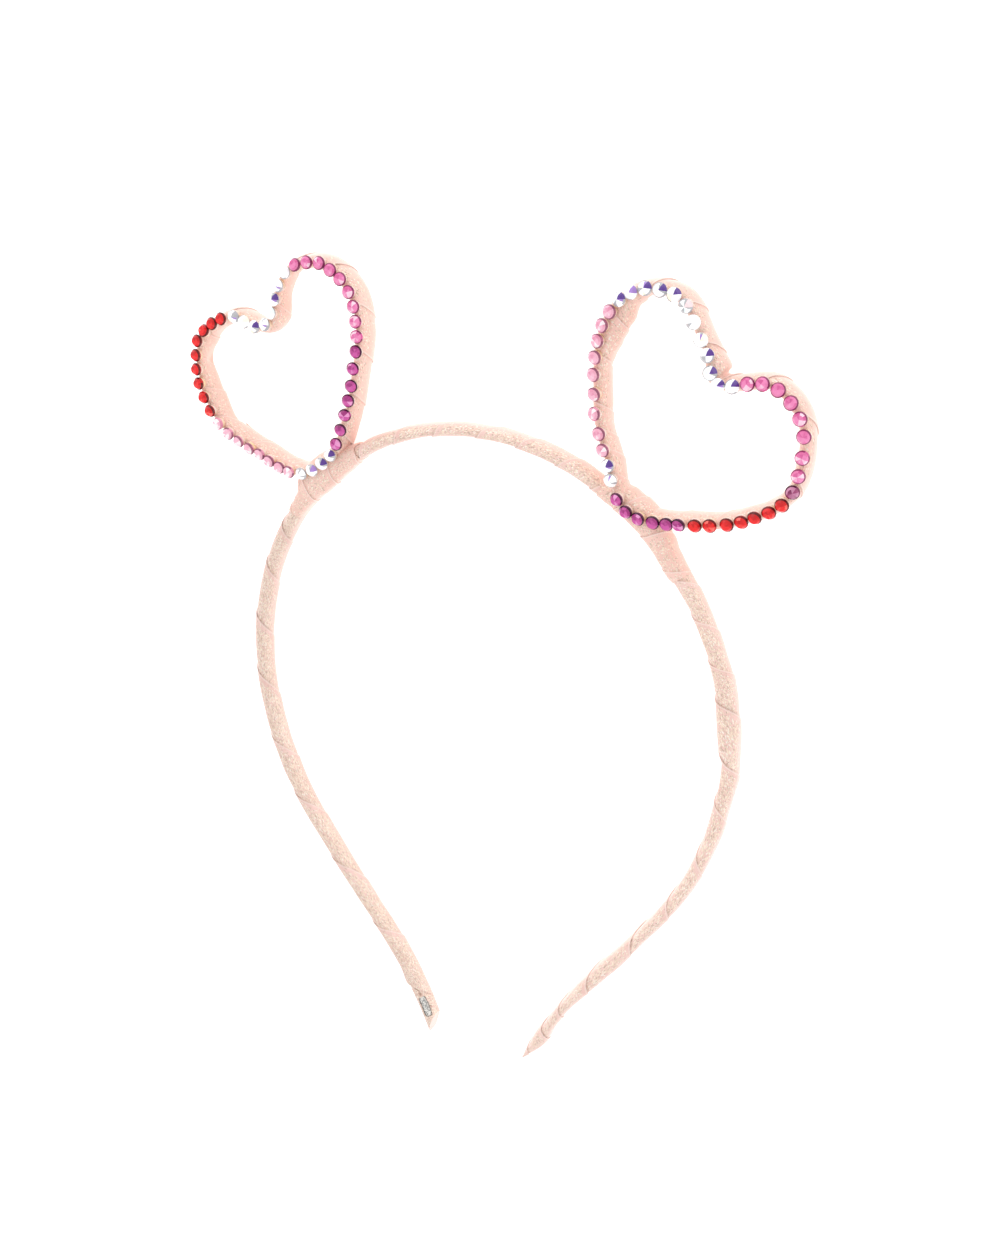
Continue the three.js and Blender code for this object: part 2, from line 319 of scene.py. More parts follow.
class Girth:
    """The way round an oval, as shares of its length."""

    STEPS = 360

    def __init__(self, oval: Oval) -> None:
        """Measure the way round an oval.

        Args:
            oval: The section to measure.
        """
        points = [Vector(oval.reach(math.tau * k / self.STEPS)) for k in range(self.STEPS + 1)]
        reach = [0.0]
        for a, b in zip(points, points[1:]):
            reach.append(reach[-1] + (b - a).length)
        self.length = reach[-1]
        self._shares = [r / self.length for r in reach]
        self.front = self._shares[self.STEPS // 4]

    def angle(self, share: float) -> float:
        """Turn a share of the way round into an angle.

        Args:
            share: The share; each whole turn adds 1.

        Returns:
            The angle in radians.
        """
        turns = math.floor(share)
        rest = share - turns
        i = min(bisect_right(self._shares, rest), self.STEPS) - 1
        step = max(self._shares[i + 1] - self._shares[i], 1e-9)
        return math.tau * (turns + (i + (rest - self._shares[i]) / step) / self.STEPS)


@dataclass(frozen=True)
class Swelling:
    """A loose place in a winding, or a pinched one where reach is negative, fullest at its peak."""

    start: float
    peak: float
    end: float
    angle: float
    reach: float

    def lift(self, s: float, angle: float) -> float:
        """Return how far the cloth stands off here.

        Args:
            s: Distance along the path.
            angle: Radians round the section.

        Returns:
            The distance, which is negative where the winding is pinched.
        """
        if not self.start < s < self.end:
            return 0.0
        near, far = s - self.start, self.end - s
        share = near / (self.peak - self.start) if s < self.peak else far / (self.end - self.peak)
        facing = max(0.0, math.cos(angle - math.radians(self.angle)))
        return self.reach * smooth(share) * facing


# Node trees


class Sketch:
    """Adds and joins the nodes of one tree."""

    # Places of the share, the two colours and the result among a Mix node's sockets.
    COLOUR_MIX = (0, 6, 7)
    MIXED_COLOUR = 2

    def __init__(self, tree: bpy.types.NodeTree) -> None:
        """Keep the tree to draw in."""
        self.tree = tree

    def node(self, kind: str, **settings: Any) -> bpy.types.Node:
        """Add a node.

        Args:
            kind: Blender's name of the node type.
            **settings: Properties to set on it.

        Returns:
            The new node.
        """
        made = self.tree.nodes.new(kind)
        for key, value in settings.items():
            setattr(made, key, value)
        return made

    def feed(self, socket: bpy.types.NodeSocket, value: Any) -> None:
        """Give a socket a link or a plain value.

        Args:
            socket: The socket.
            value: A socket to link it to, a plain value or an opaque colour.
        """
        if isinstance(value, bpy.types.NodeSocket):
            self.tree.links.new(value, socket)
        elif socket.type == "RGBA":
            socket.default_value = (*value, 1.0)
        else:
            socket.default_value = value

    def give(self, node: bpy.types.Node, **values: Any) -> None:
        """Feed a node's sockets by their names, with _ for a space."""
        for name, value in values.items():
            self.feed(node.inputs[name.replace("_", " ")], value)

    def maths(self, operation: str, first: Any, second: Any = 0.0) -> Any:
        """Add a Math node.

        Args:
            operation: What it does.
            first: Its first value.
            second: Its second value.

        Returns:
            The output socket.
        """
        made = self.node("ShaderNodeMath", operation=operation)
        self.feed(made.inputs[0], first)
        self.feed(made.inputs[1], second)
        return made.outputs[0]

    def times(self, first: Any, second: Any) -> Any:
        """Return the product of two values."""
        return self.maths("MULTIPLY", first, second)

    def span(self, value: Any, low: float, high: float, start: float = 0.0, end: float = 1.0) -> Any:
        """Ease a value from start to end as it goes from low to high.

        Args:
            value: The value.
            low: Where it begins.
            high: Where it ends.
            start: The result at low.
            end: The result at high.

        Returns:
            The output socket.
        """
        made = self.node("ShaderNodeMapRange", interpolation_type="SMOOTHSTEP")
        for socket, given in zip(made.inputs, (value, low, high, start, end)):
            self.feed(socket, given)
        return made.outputs[0]

    def vector(self, operation: str, first: Any, second: Any = None, scale: Any = None) -> Any:
        """Add a Vector Math node.

        Args:
            operation: What it does.
            first: Its first vector.
            second: Its second vector.
            scale: Its scale.

        Returns:
            The output socket.
        """
        made = self.node("ShaderNodeVectorMath", operation=operation)
        self.feed(made.inputs[0], first)
        if second is not None:
            self.feed(made.inputs[1], second)
        if scale is not None:
            self.feed(made.inputs["Scale"], scale)
        return made.outputs[0]

    def mix(self, share: Any, first: Any, second: Any, blend: str = "MIX") -> Any:
        """Mix two colours.

        Args:
            share: The share of the second.
            first: The first colour.
            second: The second colour.
            blend: How the second is laid on the first.

        Returns:
            The output socket.
        """
        made = self.node("ShaderNodeMix", data_type="RGBA", blend_type=blend)
        for place, value in zip(self.COLOUR_MIX, (share, first, second)):
            self.feed(made.inputs[place], value)
        return made.outputs[self.MIXED_COLOUR]

    def bump(self, strength: float, depth: float, **values: Any) -> Any:
        """Add fine relief.

        Args:
            strength: How strongly it shows.
            depth: Its depth.
            **values: Links for Height and, where there is one, Normal.

        Returns:
            The normal's socket.
        """
        made = self.node("ShaderNodeBump")
        self.give(made, Strength=strength, Distance=depth * MM, **values)
        return made.outputs[0]

    def ramp(self, value: Any, stops: Sequence[tuple[float, Sequence[float]]], plain: bool = False) -> Any:
        """Return the colour output of a ramp.

        Args:
            value: What runs along the ramp.
            stops: Places and colours.
            plain: Whether the colours are steps with hard edges.

        Returns:
            The colour socket.
        """
        made = self.node("ShaderNodeValToRGB")
        made.color_ramp.interpolation = "CONSTANT" if plain else "LINEAR"
        elements = made.color_ramp.elements
        while len(elements) < len(stops):
            elements.new(1.0)
        for element, (place, colour) in zip(elements, stops):
            element.position = place
            element.color = (*colour, 1.0)
        self.feed(made.inputs[0], value)
        return made.outputs[0]

    def attribute(self, name: str) -> Any:
        """Return the value of a mesh attribute."""
        return self.node("ShaderNodeAttribute", attribute_name=name).outputs["Fac"]


class NodeGroup:
    """A shared effect with named inputs and outputs, built once."""

    NAME = ""
    INPUTS: tuple[tuple[str, str, Any], ...] = ()
    OUTPUTS: tuple[tuple[str, str], ...] = ()

    @classmethod
    def tree(cls) -> bpy.types.NodeTree:
        """Build the group on first use.

        Returns:
            The group's tree.
        """
        found = bpy.data.node_groups.get(cls.NAME)
        if found is not None:
            return found
        tree = bpy.data.node_groups.new(cls.NAME, "ShaderNodeTree")
        for name, kind, value in cls.INPUTS:
            socket = tree.interface.new_socket(name, in_out="INPUT", socket_type=kind)
            if value is not None:
                socket.default_value = value
        for name, kind in cls.OUTPUTS:
            tree.interface.new_socket(name, in_out="OUTPUT", socket_type=kind)
        sketch = Sketch(tree)
        given = sketch.node("NodeGroupInput").outputs
        wanted = sketch.node("NodeGroupOutput").inputs
        for name, value in cls.draw(sketch, given).items():
            sketch.feed(wanted[name], value)
        return tree

    @classmethod
    def draw(cls, sketch: Sketch, given: Any) -> dict[str, Any]:
        """Draw the inside of the group and return a socket for each output name."""
        raise NotImplementedError

    @classmethod
    def place(cls, sketch: Sketch, **values: Any) -> Any:
        """Put the group in a material.

        Args:
            sketch: Draws in the material's tree.
            **values: Links or plain values for the group's inputs, with _ for a space.

        Returns:
            The group's output sockets.
        """
        made = sketch.node("ShaderNodeGroup", node_tree=cls.tree())
        sketch.give(made, **values)
        return made.outputs


class GlitterFlakes(NodeGroup):
    """Small flat flakes scattered over a surface."""

    NAME = "glitter flakes"
    INPUTS = (
        ("Vector", "NodeSocketVector", None),
        ("Per Unit", "NodeSocketFloat", 3.2),
        ("Share", "NodeSocketFloat", 0.4),
        ("Lean", "NodeSocketFloat", 0.5),
    )
    OUTPUTS = (
        ("Mask", "NodeSocketFloat"),
        ("Tone", "NodeSocketFloat"),
        ("Normal", "NodeSocketVector"),
    )

    # Distances from a flake's middle between which it ends, and the tone of one that doesn't lean.
    EDGE = (0.62, 0.42)
    LEVEL = (0.5, 0.5, 0.5)

    @classmethod
    def draw(cls, sketch: Sketch, given: Any) -> dict[str, Any]:
        """Draw cells, choose a share of them as flakes and lean each its own way.

        Args:
            sketch: Draws in the group's tree.
            given: The group's input sockets.

        Returns:
            A socket for each output name.
        """
        cells = sketch.node("ShaderNodeTexVoronoi", voronoi_dimensions="2D", feature="F1")
        sketch.give(cells, Vector=given["Vector"], Scale=given["Per Unit"])
        parts = sketch.node("ShaderNodeSeparateColor")
        sketch.feed(parts.inputs[0], cells.outputs["Color"])
        chosen = sketch.maths("LESS_THAN", parts.outputs[0], given["Share"])
        mask = sketch.times(chosen, sketch.span(cells.outputs["Distance"], *cls.EDGE))
        lean = sketch.vector("SUBTRACT", cells.outputs["Color"], cls.LEVEL)
        tilt = sketch.vector("SCALE", lean, scale=sketch.times(given["Lean"], mask))
        normal = sketch.node("ShaderNodeNewGeometry").outputs["Normal"]
        leaning = sketch.vector("NORMALIZE", sketch.vector("ADD", normal, tilt))
        return {"Mask": mask, "Tone": parts.outputs[1], "Normal": leaning}


class RibbonWeave(NodeGroup):
    """Crossing threads of a fine woven ribbon."""

    NAME = "ribbon weave"
    INPUTS = (("Vector", "NodeSocketVector", None), ("Pitch", "NodeSocketFloat", 0.4))
    OUTPUTS = (("Height", "NodeSocketFloat"), ("Shade", "NodeSocketFloat"))

    # How high the threads stand beside the ribs, the span of their sum, and the shade between them.
    THREAD_HEIGHT = 0.5
    HEIGHTS = (-1.5, 1.5)
    SHADES = (0.0, 0.6, 0.93, 1.0)

    @classmethod
    def draw(cls, sketch: Sketch, given: Any) -> dict[str, Any]:
        """Draw ribs across the ribbon, broken by the threads along it.

        Args:
            sketch: Draws in the group's tree.
            given: The group's input sockets.

        Returns:
            A socket for each output name.
        """
        parts = sketch.node("ShaderNodeSeparateXYZ")
        sketch.feed(parts.inputs[0], given["Vector"])
        per = sketch.maths("DIVIDE", math.tau, given["Pitch"])
        ribs, threads = (sketch.maths("SINE", sketch.times(parts.outputs[k], per)) for k in (0, 1))
        crossed = sketch.maths("ADD", ribs, sketch.times(threads, cls.THREAD_HEIGHT))
        height = sketch.span(crossed, *cls.HEIGHTS)
        return {"Height": height, "Shade": sketch.span(height, *cls.SHADES)}


class SoftVariation(NodeGroup):
    """Slow, uneven change over a surface, with a finer grain in it."""

    NAME = "soft variation"
    INPUTS = (("Scale", "NodeSocketFloat", 120.0),)
    OUTPUTS = (("Slow", "NodeSocketFloat"), ("Fine", "NodeSocketFloat"))

    # How much finer the grain is than the slow change, and how much detail both have.
    FINER = 9.0
    DETAIL = 3.0

    @classmethod
    def draw(cls, sketch: Sketch, given: Any) -> dict[str, Any]:
        """Draw two noises on the object's own coordinates.

        Args:
            sketch: Draws in the group's tree.
            given: The group's input sockets.

        Returns:
            A socket for each output name.
        """
        where = sketch.node("ShaderNodeTexCoord").outputs["Object"]
        drawn = {}
        for name, finer in (("Slow", 1.0), ("Fine", cls.FINER)):
            grain = sketch.node("ShaderNodeTexNoise")
            sketch.give(grain, Vector=where, Scale=sketch.times(given["Scale"], finer), Detail=cls.DETAIL)
            drawn[name] = grain.outputs[0]
        return drawn


class FacetFire(NodeGroup):
    """Painted light and shade on the facets of a foiled stone."""

    NAME = "facet fire"
    INPUTS = (
        ("Facet", "NodeSocketFloat", 0.5),
        ("Rim", "NodeSocketColor", (0.1, 0.0, 0.0, 1.0)),
        ("Deep", "NodeSocketColor", (0.4, 0.0, 0.0, 1.0)),
        ("Body", "NodeSocketColor", (0.7, 0.0, 0.0, 1.0)),
        ("Flash", "NodeSocketColor", (1.0, 0.6, 0.6, 1.0)),
    )
    OUTPUTS = (("Color", "NodeSocketColor"), ("Gloss", "NodeSocketFloat"))

    MOTTLE_SCALE = 900.0
    MOTTLE_REACH = 0.16
    # Tones over which each colour gives way to the next.
    TO_DEEP = (0.06, 0.22)
    TO_BODY = (0.25, 0.6)
    TO_FLASH = (0.72, 1.0)
    GLOSS = (0.3, 0.7, 0.04, 0.16)

    @classmethod
    def draw(cls, sketch: Sketch, given: Any) -> dict[str, Any]:
        """Run from the rim's painted shade by way of the body's colour to a painted highlight, with a fine
        mottle.

        Args:
            sketch: Draws in the group's tree.
            given: The group's input sockets.

        Returns:
            A socket for each output name.
        """
        mottle = SoftVariation.place(sketch, Scale=cls.MOTTLE_SCALE)["Slow"]
        shift = sketch.times(sketch.maths("SUBTRACT", mottle, 0.5), cls.MOTTLE_REACH)
        facet = sketch.maths("ADD", given["Facet"], shift)
        low = sketch.mix(sketch.span(facet, *cls.TO_DEEP), given["Rim"], given["Deep"])
        middle = sketch.mix(sketch.span(facet, *cls.TO_BODY), low, given["Body"])
        colour = sketch.mix(sketch.span(facet, *cls.TO_FLASH), middle, given["Flash"])
        return {"Color": colour, "Gloss": sketch.span(mottle, *cls.GLOSS)}


# Finishes


def new_material(name: str) -> tuple[bpy.types.Material, Sketch, bpy.types.Node]:
    """Make a material.

    Args:
        name: The material's name.

    Returns:
        The material, a sketch of its tree and its Principled BSDF.
    """
    made = bpy.data.materials.new(name)
    made.use_nodes = True
    return made, Sketch(made.node_tree), made.node_tree.nodes["Principled BSDF"]


@dataclass(frozen=True)
class GlitterRibbon:
    """Blush ribbon with a glitter face, clean pale selvages and a painted sheen at its turning edges, where
    it is paler and glows.
    """

    name: str = "blush_glitter_ribbon"
    blush: Colour = (0.90, 0.63, 0.57)
    blush_deep: Colour = (0.86, 0.58, 0.515)
    # The pinker colour away from the glitter's middle is painted reflection, as is the flakes' thinning
    # there.
    side: Colour = (0.95, 0.635, 0.55)
    selvage: Colour = (0.95, 0.78, 0.71)
    crease: Colour = (0.42, 0.25, 0.19)
    glow: Colour = (1.0, 0.86, 0.81)
    # How bright the whole ribbon is; below 1 it is painted shade over all of it.
    tone: float = 1.0
    mottle_scale: float = 160.0
    mottle: Span = (0.35, 0.65)
    weave_pitch: float = 0.42
    flakes_per_mm: float = 3.7
    flake_share: float = 0.85
    side_flake_share: float = 0.25
    flake_lean: float = 0.6
    flake_cover: float = 0.8
    flake_tones: tuple[tuple[float, Colour], ...] = (
        (0.0, (0.50, 0.38, 0.28)),
        (0.2, (0.69, 0.55, 0.43)),
        (0.45, (0.86, 0.69, 0.53)),
        (0.7, (0.98, 0.86, 0.66)),
        (1.0, (1.0, 1.0, 0.90)),
    )
    # Where the flakes thin out: at a lap's open edge, and as painted reflection and sheen where the cloth
    # turns from the camera and off its face.
    open_edge: Span = (0.82, 0.94, 1.0, 0.2)
    turned_away: Span = (0.32, 0.72, 1.0, 0.12)
    on_face: Span = (-0.1, 0.55)
    # Within a lap: the pale selvage, and the painted shade lines along its open edge and where the next one
    # covers it.
    selvage_place: Span = (0.955, 0.985, 0.0, 0.7)
    edge_line: Span = (0.978, 0.996)
    covered_line: Span = (0.07, 0.0)
    line_breaks: Span = (0.35, 0.6, 0.3, 1.0)
    line_face: Span = (0.1, 0.7)
    # Where the cloth turns out of sight, and how much painted sheen it has there: a paler colour and a faint
    # emission.
    limb: Span = (0.45, 0.95)
    limb_share: float = 0.4
    limb_glow: float = 0.07
    # From plain cloth to flakes.
    roughness: tuple[float, float] = (0.62, 0.35)
    flake_metal: float = 0.12
    relief: float = 0.3
    relief_depth: float = 0.06

    def material(self) -> bpy.types.Material:
        """Draw the ribbon's finish on its own UV map and laps.

        Returns:
            The material.
        """
        made, sketch, shader = new_material(self.name)
        where = sketch.node("ShaderNodeUVMap", uv_map=RIBBON_UV).outputs[0]
        lap = sketch.attribute(LAP_ATTRIBUTE)
        front = sketch.attribute(FRONT_ATTRIBUTE)
        vary = SoftVariation.place(sketch, Scale=self.mottle_scale)
        weave = RibbonWeave.place(sketch, Vector=where, Pitch=self.weave_pitch)

        # How far the cloth turns from the camera, which sets the painted sheen and thins the flakes.
        turning = sketch.node("ShaderNodeLayerWeight").outputs["Facing"]
        facing = sketch.span(turning, *self.turned_away)
        # Painted reflection: fewer flakes and a pinker colour away from the front.
        fronting = sketch.span(front, *self.on_face)
        share = sketch.span(fronting, 0.0, 1.0, self.side_flake_share, self.flake_share)
        bearing = sketch.times(facing, share)
        flakes = GlitterFlakes.place(
            sketch,
            Vector=where,
            Per_Unit=self.flakes_per_mm,
            Share=sketch.times(sketch.span(lap, *self.open_edge), bearing),
            Lean=self.flake_lean,
        )

        cloth = sketch.mix(sketch.span(vary["Slow"], *self.mottle), self.blush, self.blush_deep)
        cloth = sketch.mix(fronting, self.side, cloth)
        cloth = sketch.mix(1.0, cloth, weave["Shade"], "MULTIPLY")
        sparkle = sketch.ramp(flakes["Tone"], self.flake_tones)
        colour = sketch.mix(sketch.times(flakes["Mask"], self.flake_cover), cloth, sparkle)
        colour = sketch.mix(sketch.span(lap, *self.selvage_place), colour, self.selvage)

        # Painted shade: dark lines along each lap's open edge and where the next lap covers it, fading off
        # the front.
        off = sketch.maths("ABSOLUTE", sketch.maths("SUBTRACT", lap, COVERED_LAP))
        under = sketch.span(off, *self.covered_line)
        edge = sketch.span(lap, *self.edge_line)
        broken = sketch.span(vary["Fine"], *self.line_breaks)
        ink = sketch.times(sketch.attribute(LINE_SHADE_ATTRIBUTE), sketch.span(front, *self.line_face))
        line = sketch.times(sketch.maths("MAXIMUM", edge, under), ink)
        colour = sketch.mix(sketch.times(line, broken), colour, self.crease)
        # Painted shade: the whole colour is darkened by the tone.
        colour = sketch.mix(1.0, colour, (self.tone, self.tone, self.tone), "MULTIPLY")
        # Painted sheen: paler and faintly glowing where the cloth turns from the camera.
        limb = sketch.span(turning, *self.limb)

        sketch.give(
            shader,
            Base_Color=sketch.mix(sketch.times(limb, self.limb_share), colour, self.glow),
            Emission_Color=sketch.mix(limb, (0.0, 0.0, 0.0), self.glow),
            Emission_Strength=self.limb_glow,
            Roughness=sketch.span(flakes["Mask"], 0.0, 1.0, *self.roughness),
            Metallic=sketch.times(flakes["Mask"], self.flake_metal),
            Normal=sketch.bump(
                self.relief,
                self.relief_depth,
                Height=sketch.maths("ADD", weave["Height"], flakes["Mask"]),
                Normal=flakes["Normal"],
            ),
            Sheen_Weight=0.25,
            Sheen_Roughness=0.4,
            Specular_IOR_Level=0.35,
        )
        return made


@dataclass(frozen=True)
class SprungSteel:
    """Dull grey strip metal, drawn lengthwise and pitted where it is bare."""

    name: str = "grey_sprung_strip"
    light: Colour = (0.95, 0.93, 0.88)
    dark: Colour = (0.30, 0.30, 0.29)
    grain_scale: float = 290.0
    pitted: Span = (0.42, 0.56)
    worn: Span = (0.3, 0.7)
    worn_tone: tuple[float, float] = (0.7, 1.0)
    roughness: tuple[float, float] = (0.3, 0.55)
    relief: float = 0.4
    relief_depth: float = 0.1

    def material(self) -> bpy.types.Material:
        """Draw the strip's finish.

        Returns:
            The material.
        """
        made, sketch, shader = new_material(self.name)
        vary = SoftVariation.place(sketch, Scale=self.grain_scale)
        worn = sketch.span(sketch.span(vary["Slow"], *self.worn), 0.0, 1.0, *self.worn_tone)
        tone = sketch.times(sketch.span(vary["Fine"], *self.pitted), worn)
        sketch.give(
            shader,
            Base_Color=sketch.mix(tone, self.dark, self.light),
            Roughness=sketch.span(vary["Slow"], *self.worn, *self.roughness),
            Normal=sketch.bump(self.relief, self.relief_depth, Height=vary["Fine"]),
            Metallic=0.45,
        )
        return made


@dataclass(frozen=True)
class FoiledStone:
    """A cut glass stone with a foil back, in one colour, with painted shade at its rim and painted highlights
    on some facets.
    """

    name: str
    rim: Colour
    deep: Colour
    body: Colour
    flash: Colour

    def material(self) -> bpy.types.Material:
        """Draw the stone's finish from each facet's tone.

        Returns:
            The material.
        """
        made, sketch, shader = new_material(self.name)
        tone = sketch.attribute(FACET_ATTRIBUTE)
        fire = FacetFire.place(
            sketch, Facet=tone, Rim=self.rim, Deep=self.deep, Body=self.body, Flash=self.flash
        )
        sketch.give(
            shader,
            Base_Color=fire["Color"],
            Roughness=fire["Gloss"],
            Specular_IOR_Level=0.3,
            Coat_Weight=0.15,
            Coat_Roughness=0.03,
        )
        return made


class Fire(Enum):
    """Tints of a clear stone's facets, by their place on its ramp: SHADE and GREY are painted shade, WHITE a
    painted reflection, and the coloured ones partly the stone's coating and partly painted reflection.
    """

    SHADE = 0.05
    VIOLET = 0.15
    LAVENDER = 0.25
    GREY = 0.35
    MINT = 0.45
    YELLOW = 0.55
    PINK = 0.65
    WHITE = 0.85


@dataclass(frozen=True)
class AuroraStone:
    """A clear foiled stone with a violet shimmer on some facets, partly its coating and partly painted
    reflection, and a faint painted glow.
    """

    name: str = "aurora_crystal"
    # Ramp of tints in Fire's order: shade, violet, lavender, grey, mint, yellow, pink and white; shade and
    # grey are painted shade, the rest painted reflection, the colours partly the coating's own.
    tints: tuple[tuple[float, Colour], ...] = (
        (0.0, (0.34, 0.34, 0.37)),
        (0.1, (0.085, 0.028, 0.24)),
        (0.2, (0.36, 0.21, 0.58)),
        (0.3, (0.42, 0.42, 0.44)),
        (0.4, (0.82, 0.93, 0.92)),
        (0.5, (0.98, 0.94, 0.74)),
        (0.6, (0.95, 0.66, 0.68)),
        (0.7, (0.99, 0.99, 0.99)),
    )
    mottle_scale: float = 900.0
    mottle: tuple[tuple[float, Colour], ...] = ((0.35, (0.9, 0.9, 0.92)), (0.55, (1.0, 1.0, 1.0)))
    roughness: Span = (0.3, 0.7, 0.03, 0.12)

    def material(self) -> bpy.types.Material:
        """Draw the stone's finish from each facet's tint.

        Returns:
            The material.
        """
        made, sketch, shader = new_material(self.name)
        tint = sketch.ramp(sketch.attribute(FACET_ATTRIBUTE), self.tints, plain=True)
        vary = SoftVariation.place(sketch, Scale=self.mottle_scale)
        colour = sketch.mix(1.0, tint, sketch.ramp(vary["Slow"], self.mottle), "MULTIPLY")
        sketch.give(
            shader,
            Base_Color=colour,
            # Painted light: the tints glow a little by emission.
            Emission_Color=colour,
            Emission_Strength=0.2,
            Roughness=sketch.span(vary["Fine"], *self.roughness),
            Coat_Weight=0.4,
            Coat_Roughness=0.03,
        )
        return made


@dataclass(frozen=True)
class ClearGlue:
    """A thin bead of clear craft glue, faintly yellow where it is thick."""

    name: str = "clear_glue"
    thin: Colour = (0.84, 0.66, 0.56)
    thick: Colour = (0.90, 0.66, 0.36)
    mottle_scale: float = 260.0
    thickening: Span = (0.5, 0.72)
    roughness: Span = (0.3, 0.7, 0.12, 0.3)

    def material(self) -> bpy.types.Material:
        """Draw the glue's finish.

        Returns:
            The material.
        """
        made, sketch, shader = new_material(self.name)
        vary = SoftVariation.place(sketch, Scale=self.mottle_scale)
        sketch.give(
            shader,
            Base_Color=sketch.mix(sketch.span(vary["Slow"], *self.thickening), self.thin, self.thick),
            Roughness=sketch.span(vary["Fine"], *self.roughness),
            Coat_Weight=0.5,
        )
        return made


class Finishes:
    """Every material of the band, made once."""

    # For each stone: its rim's painted shade, its deep and body colours, and its painted highlight.
    STONES = {
        Slot.RED: FoiledStone(
            "red_stone", (0.12, 0.008, 0.008), (0.60, 0.008, 0.01), (0.90, 0.022, 0.022), (1.0, 0.16, 0.13)
        ),
        Slot.PALE_PINK: FoiledStone(
            "pale_pink_stone", (0.30, 0.10, 0.16), (0.80, 0.31, 0.45), (0.93, 0.50, 0.63), (1.0, 0.93, 0.95)
        ),
        Slot.ROSE: FoiledStone(
            "rose_stone", (0.24, 0.035, 0.11), (0.70, 0.12, 0.33), (0.87, 0.25, 0.50), (1.0, 0.72, 0.84)
        ),
        Slot.FUCHSIA: FoiledStone(
            "fuchsia_stone", (0.06, 0.007, 0.035), (0.36, 0.035, 0.20), (0.63, 0.10, 0.38), (0.86, 0.36, 0.66)
        ),
        Slot.AMETHYST: FoiledStone(
            "amethyst_stone", (0.06, 0.008, 0.03), (0.20, 0.025, 0.09), (0.36, 0.07, 0.18), (0.62, 0.26, 0.42)
        ),
    }

    def __init__(self) -> None:
        """Make the materials."""
        self.ribbon = GlitterRibbon().material()
        # The left leg's copy is darkened all over as painted shade, and has more flakes.
        self.left_ribbon = GlitterRibbon("blush_left_leg_ribbon", flake_share=0.95, tone=0.935).material()
        self.heart_ribbon = GlitterRibbon(
            "blush_heart_ribbon",
            blush=(0.95, 0.64, 0.56),
            blush_deep=(0.91, 0.59, 0.51),
            side=(0.96, 0.63, 0.54),
            flake_share=0.5,
        ).material()
        self.metal = SprungSteel().material()
        self.glue = ClearGlue().material()
        self.stones = {slot: stone.material() for slot, stone in self.STONES.items()}
        self.stones[Slot.CRYSTAL] = AuroraStone().material()


# Making pieces


def link(name: str, data: bpy.types.ID) -> bpy.types.Object:
    """Add an object to the scene.

    Args:
        name: Its name.
        data: What it shows.

    Returns:
        The object.
    """
    made = bpy.data.objects.new(name, data)
    bpy.context.scene.collection.objects.link(made)
    return made


def finish_piece(
    bm: bmesh.types.BMesh, name: str, node: str, slot: Slot, *materials: bpy.types.Material
) -> bpy.types.Object:
    """Turn a mesh into a piece that rides on the band.

    Args:
        bm: The mesh, in metres in the row frame; it is freed.
        name: The piece's name.
        node: The CAD node that it stands for.
        slot: The record's slot that its finish comes from; not used.
        *materials: Its materials, in the order of its faces' indices.

    Returns:
        The piece.
    """
    mesh = bpy.data.meshes.new(name)
    bm.to_mesh(mesh)
    bm.free()
    for material in materials:
        mesh.materials.append(material)
    piece = link(name, mesh)
    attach(piece, BODY)
    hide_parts(node)
    area = sum(face.area for face in mesh.polygons) / MM**2
    LOG.info("%s: %d faces, %.0f sq mm, for %s", name, len(mesh.polygons), area, node)
    return piece


def cloth_piece(
    bm: bmesh.types.BMesh,
    name: str,
    node: str,
    ribbon: bpy.types.Material,
    thickness: float,
    clamp: float = 0.0,
) -> bpy.types.Object:
    """Give a ribbon its thickness and make it a piece.

    Args:
        bm: The ribbon's outer face, in metres in the row frame; it is freed.
        name: The piece's name.
        node: The CAD node that it stands for.
        ribbon: Its material.
        thickness: How thick the cloth is.
        clamp: How far the thickness is held back where faces are small.

    Returns:
        The piece.
    """
    for edge in bm.edges:
        edge.smooth = not edge.is_boundary
    made = finish_piece(bm, name, node, Slot.RIBBON, ribbon)
    wall = made.modifiers.new("cloth", "SOLIDIFY")
    wall.thickness = thickness * MM
    wall.thickness_clamp = clamp
    wall.offset = -1.0
    return made


def cut_across(
    bm: bmesh.types.BMesh, place: Vector, way: Vector, keep_after: bool
) -> list[bmesh.types.BMEdge]:
    """Cut a mesh along a plane and drop one side of it.

    Args:
        bm: The mesh.
        place: A point of the plane.
        way: The way that the plane faces.
        keep_after: Whether the side that it faces stays.

    Returns:
        The edges of the cut.
    """
    made = bmesh.ops.bisect_plane(
        bm,
        geom=[*bm.verts, *bm.edges, *bm.faces],
        plane_co=place,
        plane_no=way,
        clear_inner=keep_after,
        clear_outer=not keep_after,
    )
    return [item for item in made["geom_cut"] if isinstance(item, bmesh.types.BMEdge)]


